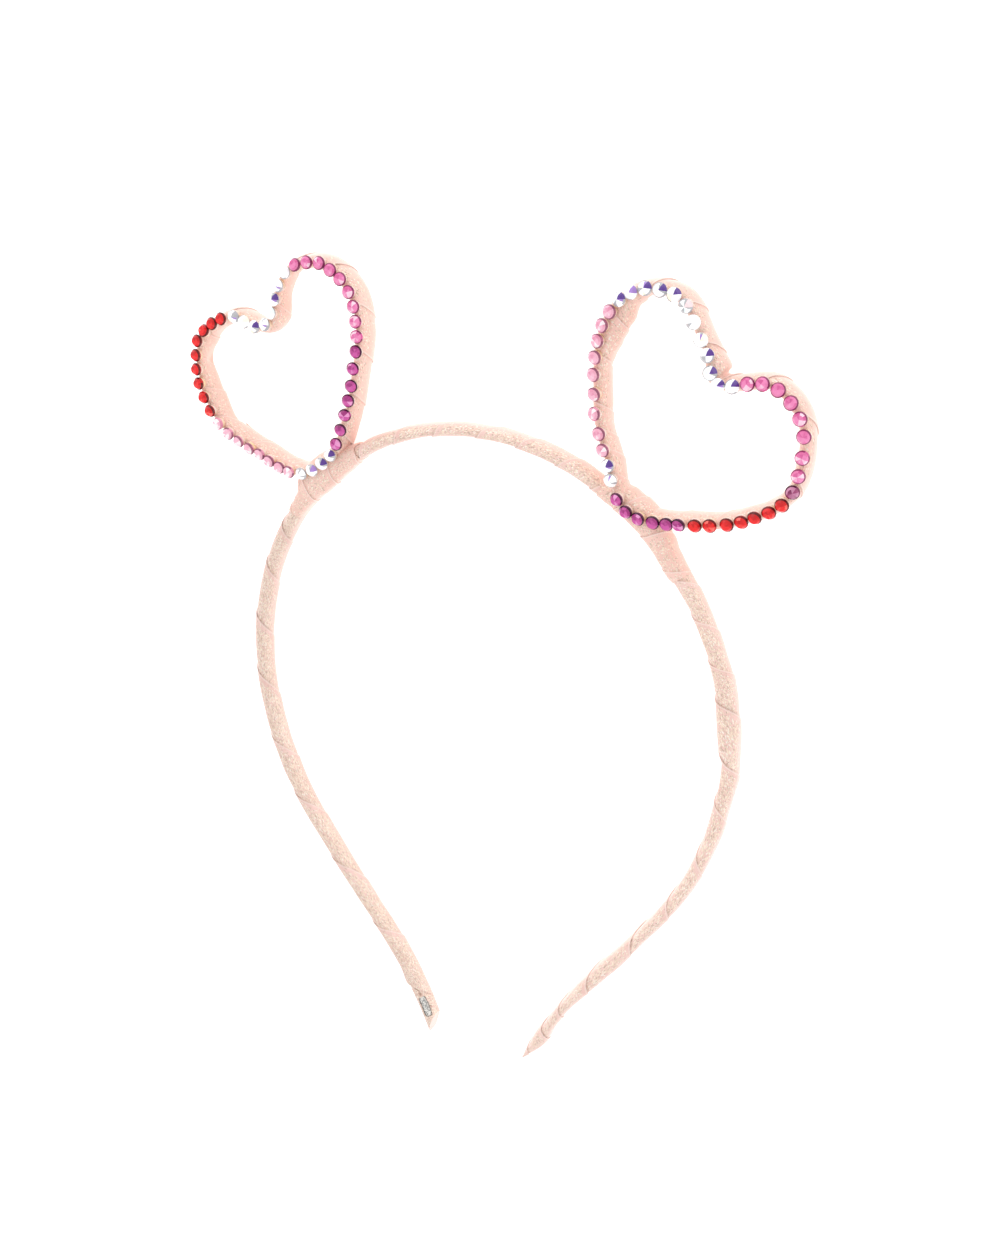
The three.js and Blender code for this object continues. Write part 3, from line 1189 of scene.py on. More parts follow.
class RibbonLayers:
    """What a ribbon's mesh carries for its material: a UV map, and the lap, front and painted line shade of
    each corner.
    """

    def __init__(self, bm: bmesh.types.BMesh) -> None:
        """Add the layers to a mesh.

        Args:
            bm: The mesh, while it is still empty.
        """
        self.uv = bm.loops.layers.uv.new(RIBBON_UV)
        self.lap = bm.verts.layers.float.new(LAP_ATTRIBUTE)
        self.front = bm.verts.layers.float.new(FRONT_ATTRIBUTE)
        self.ink = bm.verts.layers.float.new(LINE_SHADE_ATTRIBUTE)

    def write(self, vert: bmesh.types.BMVert, lap: float, front: float, ink: float) -> None:
        """Write a corner's values.

        Args:
            vert: The corner.
            lap: Its place within the lap.
            front: How far it faces the way that the glitter's middle does, which sets the painted reflection
                of its flakes.
            ink: How dark a painted shade line is there.
        """
        vert[self.lap] = lap
        vert[self.front] = front
        vert[self.ink] = ink

    def spread(self, bm: bmesh.types.BMesh, flat: dict[bmesh.types.BMVert, tuple[float, float]]) -> None:
        """Lay the UV map and smooth the faces.

        Args:
            bm: The mesh.
            flat: Where each corner lies on the flat ribbon, in millimetres.
        """
        for face in bm.faces:
            face.smooth = True
            for loop in face.loops:
                loop[self.uv].uv = flat[loop.vert]


@dataclass
class RibbonWinding:
    """One ribbon wound round a path in laps that cover each other.

    The open edge of a lap crosses the middle of the front at each value of laps.
    """

    path: Path
    section: Callable[[float], Oval]
    laps: Sequence[float]
    open_edge: OpenEdge
    # How dark the painted shade line along each lap's edge is, lap by lap.
    ink: Sequence[float] = ()
    cover: float = 0.35
    lap: float = 0.22
    cloth: float = 0.2
    around: int = 64
    across: int = 16
    crumple: float = 0.1
    waver: float = 0.3
    seed: float = 0.0
    swellings: Sequence[Swelling] = ()
    first_turn: float = 0.0
    # How dark the painted shade lines are where none are listed.
    plain_ink: float = 0.25
    # Along the path, the way that the middle of the glitter faces, in degrees, where the flakes' painted
    # reflection is strongest.
    face_angles: Sequence[Sequence[float]] = ((0.0, 90.0),)
    girth: Girth = field(init=False)

    # Crumples round the winding, finer folds within a lap, the lip of its open edge and its waver.
    CRUMPLE_LENGTH = 5.5
    CRUMPLE_ROUND = 0.9
    FOLD_RATES = (2.2, 4.0)
    FOLD_REACH = 0.04
    LIP_START = 0.88
    LIP_REACH = 0.03
    WAVER_RATE = 1.7
    # Shifts that keep the noises apart.
    FOLD_SHIFT = 7.0
    WAVER_SHIFT = 3.0

    def __post_init__(self) -> None:
        """Measure the way round the winding at its middle."""
        self.girth = Girth(self.section(self.laps[len(self.laps) // 2]))

    @property
    def pitch(self) -> float:
        """Return the mean distance between laps."""
        return (self.laps[-1] - self.laps[0]) / (len(self.laps) - 1)

    @property
    def turn_length(self) -> float:
        """Return the length of ribbon in one turn."""
        return math.hypot(self.girth.length, self.pitch)

    def along(self, turn: float) -> float:
        """Find where the ribbon crosses the front, smoothly between the laps.

        Args:
            turn: Turns from the first lap.

        Returns:
            The distance along the path.
        """
        last = len(self.laps) - 1
        i = min(max(math.floor(turn), 0), last - 1)
        u = turn - i
        b, c = self.laps[i], self.laps[i + 1]
        if not 0.0 <= u <= 1.0:
            return b + u * (c - b)
        a = self.laps[i - 1] if i else 2.0 * b - c
        d = self.laps[i + 2] if i + 2 <= last else 2.0 * c - b
        return curve(a, b, c, d, u)

    def ink_at(self, turn: float) -> float:
        """Return how dark the painted shade line along a lap's edge is.

        Args:
            turn: Turns from the first lap.

        Returns:
            0 for no line to 1 for a full one.
        """
        if not self.ink:
            return self.plain_ink
        i = min(max(math.floor(turn), 0), len(self.ink) - 2)
        return lerp(self.ink[i], self.ink[i + 1], min(max(turn - i, 0.0), 1.0))

    def rise(self, phase: float) -> float:
        """Return 1 at a lap's open edge, 0 where the next covers it and less below that."""
        return phase if self.open_edge is OpenEdge.FORWARD else 1.0 - phase

    def lift(self, s: float, angle: float, share: float, rise: float) -> float:
        """Return how far the cloth stands off the plain section.

        Args:
            s: Distance along the path.
            angle: Radians round the section.
            share: Turns of ribbon from its start.
            rise: The place within the lap, from rise().

        Returns:
            The distance.
        """
        cosine, sine = (self.CRUMPLE_ROUND * turn(angle) for turn in (math.cos, math.sin))
        along, across = self.FOLD_RATES
        lip = smooth((rise - self.LIP_START) / (1.0 - self.LIP_START))
        return (
            self.lap * rise
            + self.crumple * noise.noise(Vector((s / self.CRUMPLE_LENGTH, cosine, sine + self.seed)))
            + self.FOLD_REACH
            * noise.noise(Vector((share * along, rise * across, self.seed + self.FOLD_SHIFT)))
            + self.LIP_REACH * lip
            + sum(swelling.lift(s, angle) for swelling in self.swellings)
        )

    def strip(self) -> bmesh.types.BMesh:
        """Wind the ribbon.

        Returns:
            One open strip with its layers, in metres in the row frame.
        """
        bm = bmesh.new()
        layers = RibbonLayers(bm)
        low, high = (-self.cover, 1.0) if self.open_edge is OpenEdge.FORWARD else (0.0, 1.0 + self.cover)
        start = self.girth.front - (len(self.laps) - 1)
        end = self.girth.front + high - self.first_turn
        columns = round((end - start) * self.around)
        bmesh.ops.create_grid(bm, x_segments=columns, y_segments=self.across, size=1.0)
        width = self.pitch * self.girth.length / self.turn_length
        flat = {}
        for vert in bm.verts:
            share = lerp(start, end, (vert.co.x + 1.0) / 2.0)
            phase = lerp(low, high, (vert.co.y + 1.0) / 2.0)
            wander = noise.noise(Vector((share * self.WAVER_RATE, self.seed + self.WAVER_SHIFT, 0.0)))
            turn = phase - (share - self.girth.front)
            s = self.along(turn) + self.waver * wander
            angle = self.girth.angle(share)
            rise = self.rise(phase)
            lift = self.lift(s, angle, share, rise)
            left, up = self.section(s).reach(angle, lift, self.lap * (1.0 - rise))
            vert.co = to_row(self.path.at(s).beside(left, up))
            front = math.cos(angle - math.radians(table_value(self.face_angles, s)))
            layers.write(vert, rise, front, self.ink_at(turn))
            flat[vert] = (share * self.turn_length, rise * width)
        layers.spread(bm, flat)
        bm.normal_update()
        return bm

    def face_outwards(self, bm: bmesh.types.BMesh) -> None:
        """Turn a strip's faces away from the path.

        Args:
            bm: The strip.
        """
        bm.normal_update()
        front = max(bm.faces, key=lambda face: face.calc_center_median().z)
        if front.normal.z < 0.0:
            bmesh.ops.reverse_faces(bm, faces=bm.faces[:])

    def cut_strip(self, start: float | None, end: float) -> bmesh.types.BMesh:
        """Return the strip cut square across the path.

        Args:
            start: Where to cut its start, or None to leave it.
            end: Where to cut its end.

        Returns:
            The strip between the cuts.
        """
        bm = self.strip()
        for s, keep_after in ((start, True), (end, False)):
            if s is not None:
                spot = self.path.at(s)
                way = Vector((spot.heading_x, spot.heading_y, 0.0))
                cut_across(bm, to_row(spot.beside(0.0, 0.0)), way, keep_after)
        return bm

    def piece(
        self, bm: bmesh.types.BMesh, name: str, node: str, ribbon: bpy.types.Material
    ) -> bpy.types.Object:
        """Make the strip, which is freed, a piece of cloth that stands for a CAD node."""
        self.face_outwards(bm)
        return cloth_piece(bm, name, node, ribbon, self.cloth)


# Sub-assemblies


@dataclass(frozen=True)
class HoopLength:
    """One length of ribbon on the hoop."""

    name: str
    open_edge: OpenEdge
    seed: float
    # Where each lap's open edge crosses the front, and how dark its painted shade line is.
    laps: tuple[float, ...]
    ink: tuple[float, ...]
    # How long the ribbon was before it was wound.
    ribbon_length: float
    first_turn: float = 0.0


@dataclass
class WoundHoop:
    """The sprung strip and the ribbon wound on it."""

    path: HoopPath = field(default_factory=HoopPath)
    depth: float = 5.2
    thickness: float = 3.3
    middle: float = 2.33
    lap: float = 0.22
    core_depth: float = 2.6
    core_thickness: float = 0.8
    core_ends: tuple[float, float] = (-192.0, 186.0)
    core_steps: int = 180
    # The strip's thicker folded end, and the ribbon folded over it.
    folded_end: tuple[float, float] = (-197.6, -187.0)
    left_tip_inner: float = -196.3
    left_tip_outer: float = -200.9
    end_setback: float = 0.6
    fold_spare: float = 2.0
    fold_hidden_end: float = -172.0
    fold_drop: float = 0.36
    fold_cloth: float = 0.22
    fold_gap: float = 0.05
    fold_crumple: float = 0.05
    fold_crumple_length: float = 3.0
    fold_length: float = 23.5
    # Where the fold comes out from under the ribbon, on the hoop's outer and inner side.
    bare_from: tuple[float, float] = (-187.5, -192.5)
    bare_within: float = 2.0
    bare_swell: float = 0.34
    # The worn patch: its ends, its angles, how square it is and how ragged.
    worn_along: tuple[float, float] = (-196.0, -190.6)
    worn_angles: tuple[float, float] = (85.0, 152.0)
    worn_square: float = 5.0
    worn_ragged: float = 0.12
    worn_smoothing: int = 4
    # Painted shade lines on the fold, along its creases and edges: from and to along the hoop and in degrees
    # round it, and their width.
    fold_marks: tuple[tuple[float, float, float, float, float], ...] = (
        (-187.6, 80.0, -189.0, 116.0, 0.2),
        (-189.7, 116.0, -190.0, 118.0, 0.36),
        (-193.6, 158.0, -193.9, 160.0, 0.2),
        (-192.0, 66.0, -197.5, 58.0, 0.26),
    )
    right_tip: float = 200.0
    right_taper: float = 9.5
    right_taper_power: float = 2.2
    right_tip_half_depth: float = 1.3
    right_tip_pinch: float = 0.86
    joint_ends: tuple[float, float] = (30.5, 54.0)
    tucked: float = 1.5
    lengths: tuple[HoopLength, ...] = (
        HoopLength(
            "left_leg",
            OpenEdge.FORWARD,
            1.0,
            (-183.0, -170.0, -151.0, -132.5, -117.3, -99.7, -85.2, -71.0, -59.9, -48.0, -37.0),
            (0.0, 0.15, 0.3, 0.25, 0.2, 0.25, 0.5, 0.5, 0.5, 0.2, 0.2),
            183.0,
            first_turn=0.5,
        ),
        HoopLength(
            "crown",
            OpenEdge.BACKWARD,
            2.0,
            (-39.0, -29.5, -19.5, -9.0, 1.5, 11.0, 20.5, 29.5, 39.0),
            (0.3, 0.3, 0.45, 0.45, 0.25, 0.1, 0.1, 0.2, 0.3),
            87.0,
        ),
        HoopLength(
            "right_leg",
            OpenEdge.BACKWARD,
            3.0,
            (
                *(44.0, 54.5, 64.0, 74.0, 82.5, 95.5, 106.5, 121.0),
                *(136.0, 150.5, 168.0, 180.0, 188.5, 197.0, 206.0),
            ),
            (0.2, 0.2, 0.05, 0.1, 0.5, 0.3, 0.1, 0.15, 0.2, 0.4, 0.45, 0.4, 0.4, 0.35, 0.3),
            206.0,
        ),
    )
    # Where along the hoop the winding is thin or thick, as a share of its plain thickness.
    girth: tuple[tuple[float, float], ...] = (
        *((-200.0, 1.05), (-188.0, 1.12), (-170.0, 0.92), (-140.0, 0.94), (-110.0, 1.05)),
        *((-68.0, 1.1), (-28.0, 0.94), (0.0, 0.82), (28.0, 1.0), (60.0, 1.05), (76.0, 1.1)),
        *((88.0, 1.36), (102.0, 1.08), (132.0, 0.98), (148.0, 0.86), (162.0, 0.98)),
        *((180.0, 0.82), (186.0, 0.85), (190.5, 1.12), (200.0, 0.95)),
    )
    # Along the hoop, the way that the middle of the glitter faces, in degrees, where the flakes' painted
    # reflection is strongest.
    face_angles: tuple[tuple[float, float], ...] = (
        *((-180.0, 124.0), (-95.0, 116.0), (-45.0, 95.0)),
        *((30.0, 84.0), (100.0, 68.0), (180.0, 64.0)),
    )
    swellings: tuple[Swelling, ...] = (
        Swelling(-189.0, -186.0, -181.5, 0.0, 0.7),
        Swelling(-185.0, -180.0, -172.0, 150.0, 0.3),
        Swelling(-131.0, -125.0, -119.0, 0.0, 0.25),
        Swelling(72.0, 78.5, 86.0, 0.0, 0.35),
        Swelling(74.0, 91.5, 94.4, 180.0, 0.5),
        Swelling(94.0, 95.5, 106.0, 180.0, -0.6),
        Swelling(93.0, 99.0, 106.0, 0.0, 0.4),
        Swelling(112.0, 160.0, 204.0, 0.0, 0.4),
        Swelling(156.0, 162.0, 167.0, 180.0, 0.2),
        Swelling(164.0, 182.0, 198.0, 180.0, -0.2),
    )

    # Steps of a sleeve round and along the hoop, the lap value at the fold's end, and its mean radius.
    SLEEVE_STEPS = (120, 150)
    PLAIN_LAP = 0.5
    FOLD_RADIUS = 2.0
    # Where the noise that makes the worn patch ragged is read.
    RAGGED_RATES = (1.3, 2.0)
    RAGGED_SHIFT = 4.0

    def section(self, s: float) -> Oval:
        """Return the winding's section, which runs to a point at the right tip.

        Args:
            s: Distance along the hoop.

        Returns:
            The section.
        """
        share = min(max((s - self.right_tip + self.right_taper) / self.right_taper, 0.0), 1.0)
        point = share**self.right_taper_power
        half = (self.thickness - self.lap) / 2.0 * table_value(self.girth, s)
        deep = lerp((self.depth - self.lap) / 2.0, self.right_tip_half_depth, point)
        outer = lerp(half, -self.right_tip_pinch * half, point)
        return Oval(half, outer, self.middle - deep, self.middle + deep)

    def build(self, finishes: Finishes) -> None:
        """Build the strip, the tip fold and the three lengths of ribbon.

        Args:
            finishes: The band's materials.
        """
        core = self.core(finishes)
        fold = self.tip_fold(finishes)
        near, far = self.joint_ends
        cuts = {
            "left_leg": (None, self.tucked - far),
            "crown": (-near - self.tucked, near + self.tucked),
            "right_leg": (far - self.tucked, self.right_tip),
        }
        for length in self.lengths:
            winding = self.winding(length)
            start, end = cuts[length.name]
            bm = winding.cut_strip(start, end)
            ribbon = finishes.ribbon
            if start is None:
                self.cut_left_tip(bm)
                ribbon = finishes.left_ribbon
            winding.piece(bm, f"{length.name}_winding", f"{length.name}_ribbon", ribbon)

    def winding(self, length: HoopLength) -> RibbonWinding:
        """Wind a length of ribbon on the hoop.

        Args:
            length: The length.

        Returns:
            The winding.
        """
        return RibbonWinding(
            self.path,
            self.section,
            length.laps,
            length.open_edge,
            length.ink,
            lap=self.lap,
            seed=length.seed,
            swellings=self.swellings,
            first_turn=length.first_turn,
            face_angles=self.face_angles,
        )

    def cut_left_tip(self, bm: bmesh.types.BMesh, setback: float = 0.0) -> list[bmesh.types.BMEdge]:
        """Cut a mesh off slantwise at the left tip.

        Args:
            bm: The mesh.
            setback: How far inside the tip to cut.

        Returns:
            The edges of the cut.
        """
        inner = to_row(self.path.at(self.left_tip_inner).beside(-self.thickness / 2.0, 0.0))
        outer = to_row(self.path.at(self.left_tip_outer).beside(self.thickness / 2.0, 0.0))
        normal = Vector((0.0, 0.0, 1.0)).cross(inner - outer)
        if normal.dot(to_row(self.path.at(0.0).beside(0.0, 0.0)) - outer) < 0.0:
            normal.negate()
        return cut_across(bm, inner + setback * MM * normal.normalized(), normal, keep_after=True)

    def sleeve(
        self, bm: bmesh.types.BMesh, start: float, end: float, drop: float
    ) -> dict[bmesh.types.BMVert, tuple[float, float]]:
        """Add a tube round the hoop, open at both ends and not yet joined along its back.

        Args:
            bm: The mesh to add it to.
            start: Where along the hoop it starts.
            end: Where it ends.
            drop: How far it lies below the plain winding.

        Returns:
            For each corner, where it is along the hoop and its angle in radians.
        """
        around, along = self.SLEEVE_STEPS
        made = bmesh.ops.create_grid(bm, x_segments=around, y_segments=along, size=1.0)["verts"]
        places = {}
        for vert in made:
            angle = math.pi * vert.co.x
            cosine, sine = math.cos(angle), math.sin(angle)
            s = lerp(start, end, (vert.co.y + 1.0) / 2.0)
            bare_from = lerp(*self.bare_from, (1.0 - cosine) / 2.0)
            bare = 1.0 - smooth((s - bare_from) / self.bare_within)
            lift = self.fold_crumple * noise.noise(Vector((s / self.fold_crumple_length, cosine, sine)))
            lift += self.bare_swell * bare - drop
            left, up = self.section(s).reach(angle, lift, self.lap + drop)
            vert.co = to_row(self.path.at(s).beside(left, up))
            places[vert] = (s, angle)
        return places

    def tip_fold(self, finishes: Finishes) -> bpy.types.Object:
        """Build the ribbon folded over the left end, worn through to the metal in front.

        Args:
            finishes: The band's materials.

        Returns:
            The piece.
        """
        bm = bmesh.new()
        layers = RibbonLayers(bm)
        outermost = self.left_tip_outer - self.fold_spare
        places = self.sleeve(bm, outermost, self.fold_hidden_end, self.fold_drop)
        # Each corner sits at a lap's covered place, so the painted shade lines show there at full strength.
        for vert, (s, angle) in places.items():
            layers.write(vert, COVERED_LAP, 1.0, self.mark(s, angle))
        layers.spread(bm, {vert: (self.FOLD_RADIUS * angle, s) for vert, (s, angle) in places.items()})
        worn = [face for face in bm.faces if all(self.is_worn(*places[vert]) for vert in face.verts)]
        rim = {vert for face in worn for vert in face.verts}
        bmesh.ops.delete(bm, geom=worn, context="FACES")
        rim = [vert for vert in rim if vert.is_valid]
        axes = {f"use_axis_{axis}": True for axis in "xyz"}
        for _ in range(self.worn_smoothing):
            bmesh.ops.smooth_vert(bm, verts=rim, factor=0.5, **axes)
        bmesh.ops.remove_doubles(bm, verts=bm.verts[:], dist=JOINED)
        end = self.cut_left_tip(bm)
        cap = bmesh.ops.edgeloop_fill(bm, edges=end)["faces"]
        middles = bmesh.ops.poke(bm, faces=cap, offset=0.0)["verts"]
        for vert in {*middles, *(vert for edge in end for vert in edge.verts)}:
            vert[layers.lap] = self.PLAIN_LAP
        bmesh.ops.recalc_face_normals(bm, faces=bm.faces[:])
        return cloth_piece(
            bm, "left_tip_fold", "left_leg_ribbon", finishes.left_ribbon, self.fold_cloth, clamp=1.0
        )

    def mark(self, s: float, angle: float) -> float:
        """Return how dark the painted shade lines on the tip fold are here.

        Args:
            s: Distance along the hoop.
            angle: Radians round it.

        Returns:
            0 for plain to 1 for darkest.
        """
        here = Vector((s, self.FOLD_RADIUS * angle))
        darkest = 0.0
        for first, low, last, high, width in self.fold_marks:
            start = Vector((first, self.FOLD_RADIUS * math.radians(low)))
            way = Vector((last, self.FOLD_RADIUS * math.radians(high))) - start
            share = min(max((here - start).dot(way) / way.length_squared, 0.0), 1.0)
            away = (here - start - share * way).length
            darkest = max(darkest, 1.0 - smooth(away / (2.0 * width)))
        return darkest

    def is_worn(self, s: float, angle: float) -> bool:
        """Return whether the tip fold is worn away.

        Args:
            s: Distance along the hoop.
            angle: Radians round it.

        Returns:
            True if the metal shows.
        """
        off = 0.0
        for value, (low, high) in ((s, self.worn_along), (math.degrees(angle), self.worn_angles)):
            off += abs((value - (low + high) / 2.0) / ((high - low) / 2.0)) ** self.worn_square
        along, around = self.RAGGED_RATES
        ragged = self.worn_ragged * noise.noise(Vector((s * along, angle * around, self.RAGGED_SHIFT)))
        return off ** (1.0 / self.worn_square) + ragged < 1.0

    def core(self, finishes: Finishes) -> bpy.types.Object:
        """Build the sprung strip inside the winding, with its thicker folded end.

        Args:
            finishes: The band's materials.

        Returns:
            The piece.
        """
        bm = bmesh.new()
        bmesh.ops.create_grid(bm, x_segments=self.core_steps, y_segments=2, size=1.0)
        for vert in bm.verts:
            s = lerp(*self.core_ends, (vert.co.x + 1.0) / 2.0)
            up = self.middle + vert.co.y * self.core_depth / 2.0
            vert.co = to_row(self.path.at(s).beside(-self.core_thickness / 2.0, up))
        bm.normal_update()
        bmesh.ops.solidify(bm, geom=bm.faces[:], thickness=self.core_thickness * MM)
        folded = list(self.sleeve(bm, *self.folded_end, self.fold_drop + self.fold_cloth + self.fold_gap))
        bmesh.ops.remove_doubles(bm, verts=folded, dist=JOINED)
        self.cut_left_tip(bm, self.end_setback)
        open_edges = [edge for edge in bm.edges if edge.is_boundary]
        bmesh.ops.holes_fill(bm, edges=open_edges, sides=0)
        bmesh.ops.recalc_face_normals(bm, faces=bm.faces[:])
        return finish_piece(bm, "sprung_strip", "band_core", Slot.METAL, finishes.metal)


@dataclass
class JointBinding:
    """The ribbon that binds a heart's foot to the hoop."""

    side: Side
    hoop: WoundHoop
    # Distance from the crown, and there the reach inwards and outwards and the height of the front.
    rows: tuple[tuple[float, float, float, float], ...]
    bottom: float = -0.3
    round: float = 2.6
    pitch: float = 8.0
    lap: float = 0.2
    cover: float = 0.75
    waver: float = 0.6
    # How dark the painted shade lines along its laps are.
    ink: float = 0.14
    ribbon_length: float = 63.0
    spots: list[tuple[float, Spot]] = field(init=False)

    # Steps between the places listed along it, laps on each side of its middle, and their shift in laps.
    STEPS = 48
    SIDE_LAPS = 3
    SHIFTS = {Side.LEFT: 0.5, Side.RIGHT: -0.8}
    OPEN_EDGES = {Side.LEFT: OpenEdge.FORWARD, Side.RIGHT: OpenEdge.BACKWARD}

    def __post_init__(self) -> None:
        """List places along the binding."""
        first, last = self.rows[0][0], self.rows[-1][0]
        along = (self.side.value * lerp(first, last, k / self.STEPS) for k in range(self.STEPS + 1))
        self.spots = [(s, self.hoop.path.at(s)) for s in along]

    def section(self, s: float) -> Oval:
        """Return the binding's section at s on the hoop."""
        inner, outer, top = (table_value(self.rows, abs(s), column) for column in (1, 2, 3))
        return Oval(inner, outer, self.bottom, top, self.round)

    def holds(self, point: Vector, margin: float) -> bool:
        """Return whether a point of the hoop's frame lies well inside the binding.

        Args:
            point: The point.
            margin: How far inside it has to be.

        Returns:
            True if it does.
        """
        s, spot = min(self.spots, key=lambda row: (row[1].x - point.x) ** 2 + (row[1].y - point.y) ** 2)
        left = (point.y - spot.y) * spot.heading_x - (point.x - spot.x) * spot.heading_y
        oval = self.section(s)
        return (
            self.rows[0][0] + margin < abs(s) < self.rows[-1][0] - margin
            and margin - oval.inner < left < oval.outer - margin
        )

    def build(self, finishes: Finishes) -> None:
        """Build the binding.

        Args:
            finishes: The band's materials.
        """
        low, high = sorted(self.side.value * self.rows[k][0] for k in (0, -1))
        places = range(-self.SIDE_LAPS, self.SIDE_LAPS + 1)
        winding = RibbonWinding(
            self.hoop.path,
            self.section,
            tuple((low + high) / 2.0 + self.pitch * (k + self.SHIFTS[self.side]) for k in places),
            self.OPEN_EDGES[self.side],
            cover=self.cover,
            lap=self.lap,
            seed=low,
            waver=self.waver,
            plain_ink=self.ink,
        )
        bm = winding.cut_strip(low, high)
        word = self.side.word
        made = winding.piece(bm, f"{word}_joint_binding", f"{word}_joint_wrap", finishes.heart_ribbon)


@dataclass
class HeartFrame:
    """A heart of bent wire wound with ribbon, open at its foot."""

    side: Side
    path: HeartPath
    joint: JointBinding
    laps: tuple[float, ...]
    # Place along the outline, and how far a loose fold reaches into the heart there.
    folds: tuple[tuple[float, float], ...]
    swellings: tuple[Swelling, ...]
    depth: float = 6.1
    thickness: float = 3.0
    middle: float = 3.02
    round: float = 2.1
    lap: float = 0.22
    cover: float = 0.55
    tucked: float = 0.7
    ribbon_length: float = 264.0

    SEED = 5.0

    def section(self, s: float) -> Oval:
        """Return the frame's section.

        Args:
            s: Distance along the outline.

        Returns:
            The section.
        """
        along = s % self.path.length
        half = (self.thickness - self.lap) / 2.0
        deep = (self.depth - self.lap) / 2.0
        reach = table_value(self.folds, along)
        return Oval(half, half + reach, self.middle - deep, self.middle + deep, self.round)

    def build(self, finishes: Finishes) -> None:
        """Build the wound frame and take its foot out of the binding.

        Args:
            finishes: The band's materials.
        """
        winding = RibbonWinding(
            self.path,
            self.section,
            self.laps,
            OpenEdge.BACKWARD,
            cover=self.cover,
            lap=self.lap,
            seed=self.SEED * self.side.value,
            swellings=self.swellings,
        )
        bm = winding.strip()
        hidden = [
            face
            for face in bm.faces
            if all(self.joint.holds(vert.co / MM - ROW_SHIFT, self.tucked) for vert in face.verts)
        ]
        bmesh.ops.delete(bm, geom=hidden, context="FACES")
        word = self.side.word
        made = winding.piece(bm, f"{word}_heart_winding", f"{word}_heart_frame", finishes.heart_ribbon)


@dataclass(frozen=True)
class StoneCut:
    """The cut of a flat-backed stone: girdle, crown facets and table."""

    # Radius and height of each ring, from the back to the table.
    rings: tuple[tuple[float, float], ...] = (
        *((0.0, 0.0), (1.35, 0.0), (1.45, 0.28), (1.45, 0.42)),
        *((1.22, 0.72), (0.86, 1.15), (0.0, 1.15)),
    )
    sides: int = 16

    # Corners of a stone nearer than this, in millimetres, are joined.
    JOINED = 1e-4

    def add(self, bm: bmesh.types.BMesh) -> list[bmesh.types.BMFace]:
        """Turn one stone about the Z axis.

        Args:
            bm: The mesh to add it to, in millimetres.

        Returns:
            The stone's faces, in no set order.
        """
        before = set(bm.faces)
        verts = [bm.verts.new((radius, 0.0, height)) for radius, height in self.rings]
        edges = [bm.edges.new(pair) for pair in zip(verts, verts[1:])]
        bmesh.ops.spin(
            bm,
            geom=[*verts, *edges],
            cent=(0.0, 0.0, 0.0),
            axis=(0.0, 0.0, 1.0),
            angle=math.tau,
            steps=self.sides,
            use_merge=True,
            use_duplicate=False,
        )
        corners = list({vert for face in bm.faces if face not in before for vert in face.verts})
        bmesh.ops.remove_doubles(bm, verts=corners, dist=self.JOINED)
        faces = [face for face in bm.faces if face not in before]
        bmesh.ops.recalc_face_normals(bm, faces=faces)
        return faces


@dataclass(frozen=True)
class FacetTone:
    """The tones of one ring of facets: a plain spread, painted darker to one side as shade, and a few painted
    as highlights.
    """

    plain: float
    spread: float
    shade: float = 0.0
    flash: float = 0.0
    flash_above: float = 1.0

    def at(self, chance: float, other: float, shaded: float) -> float:
        """Return a facet's tone.

        Args:
            chance: A seeded draw from 0 to 1, which decides whether it flashes.
            other: Another one, for its place in the spread.
            shaded: How far it looks to the dark side, from -1 to 1.

        Returns:
            0 for the rim's painted shade to 1 for a painted highlight.
        """
        if chance > self.flash_above:
            return self.flash
        return self.plain + self.spread * other - self.shade * shaded


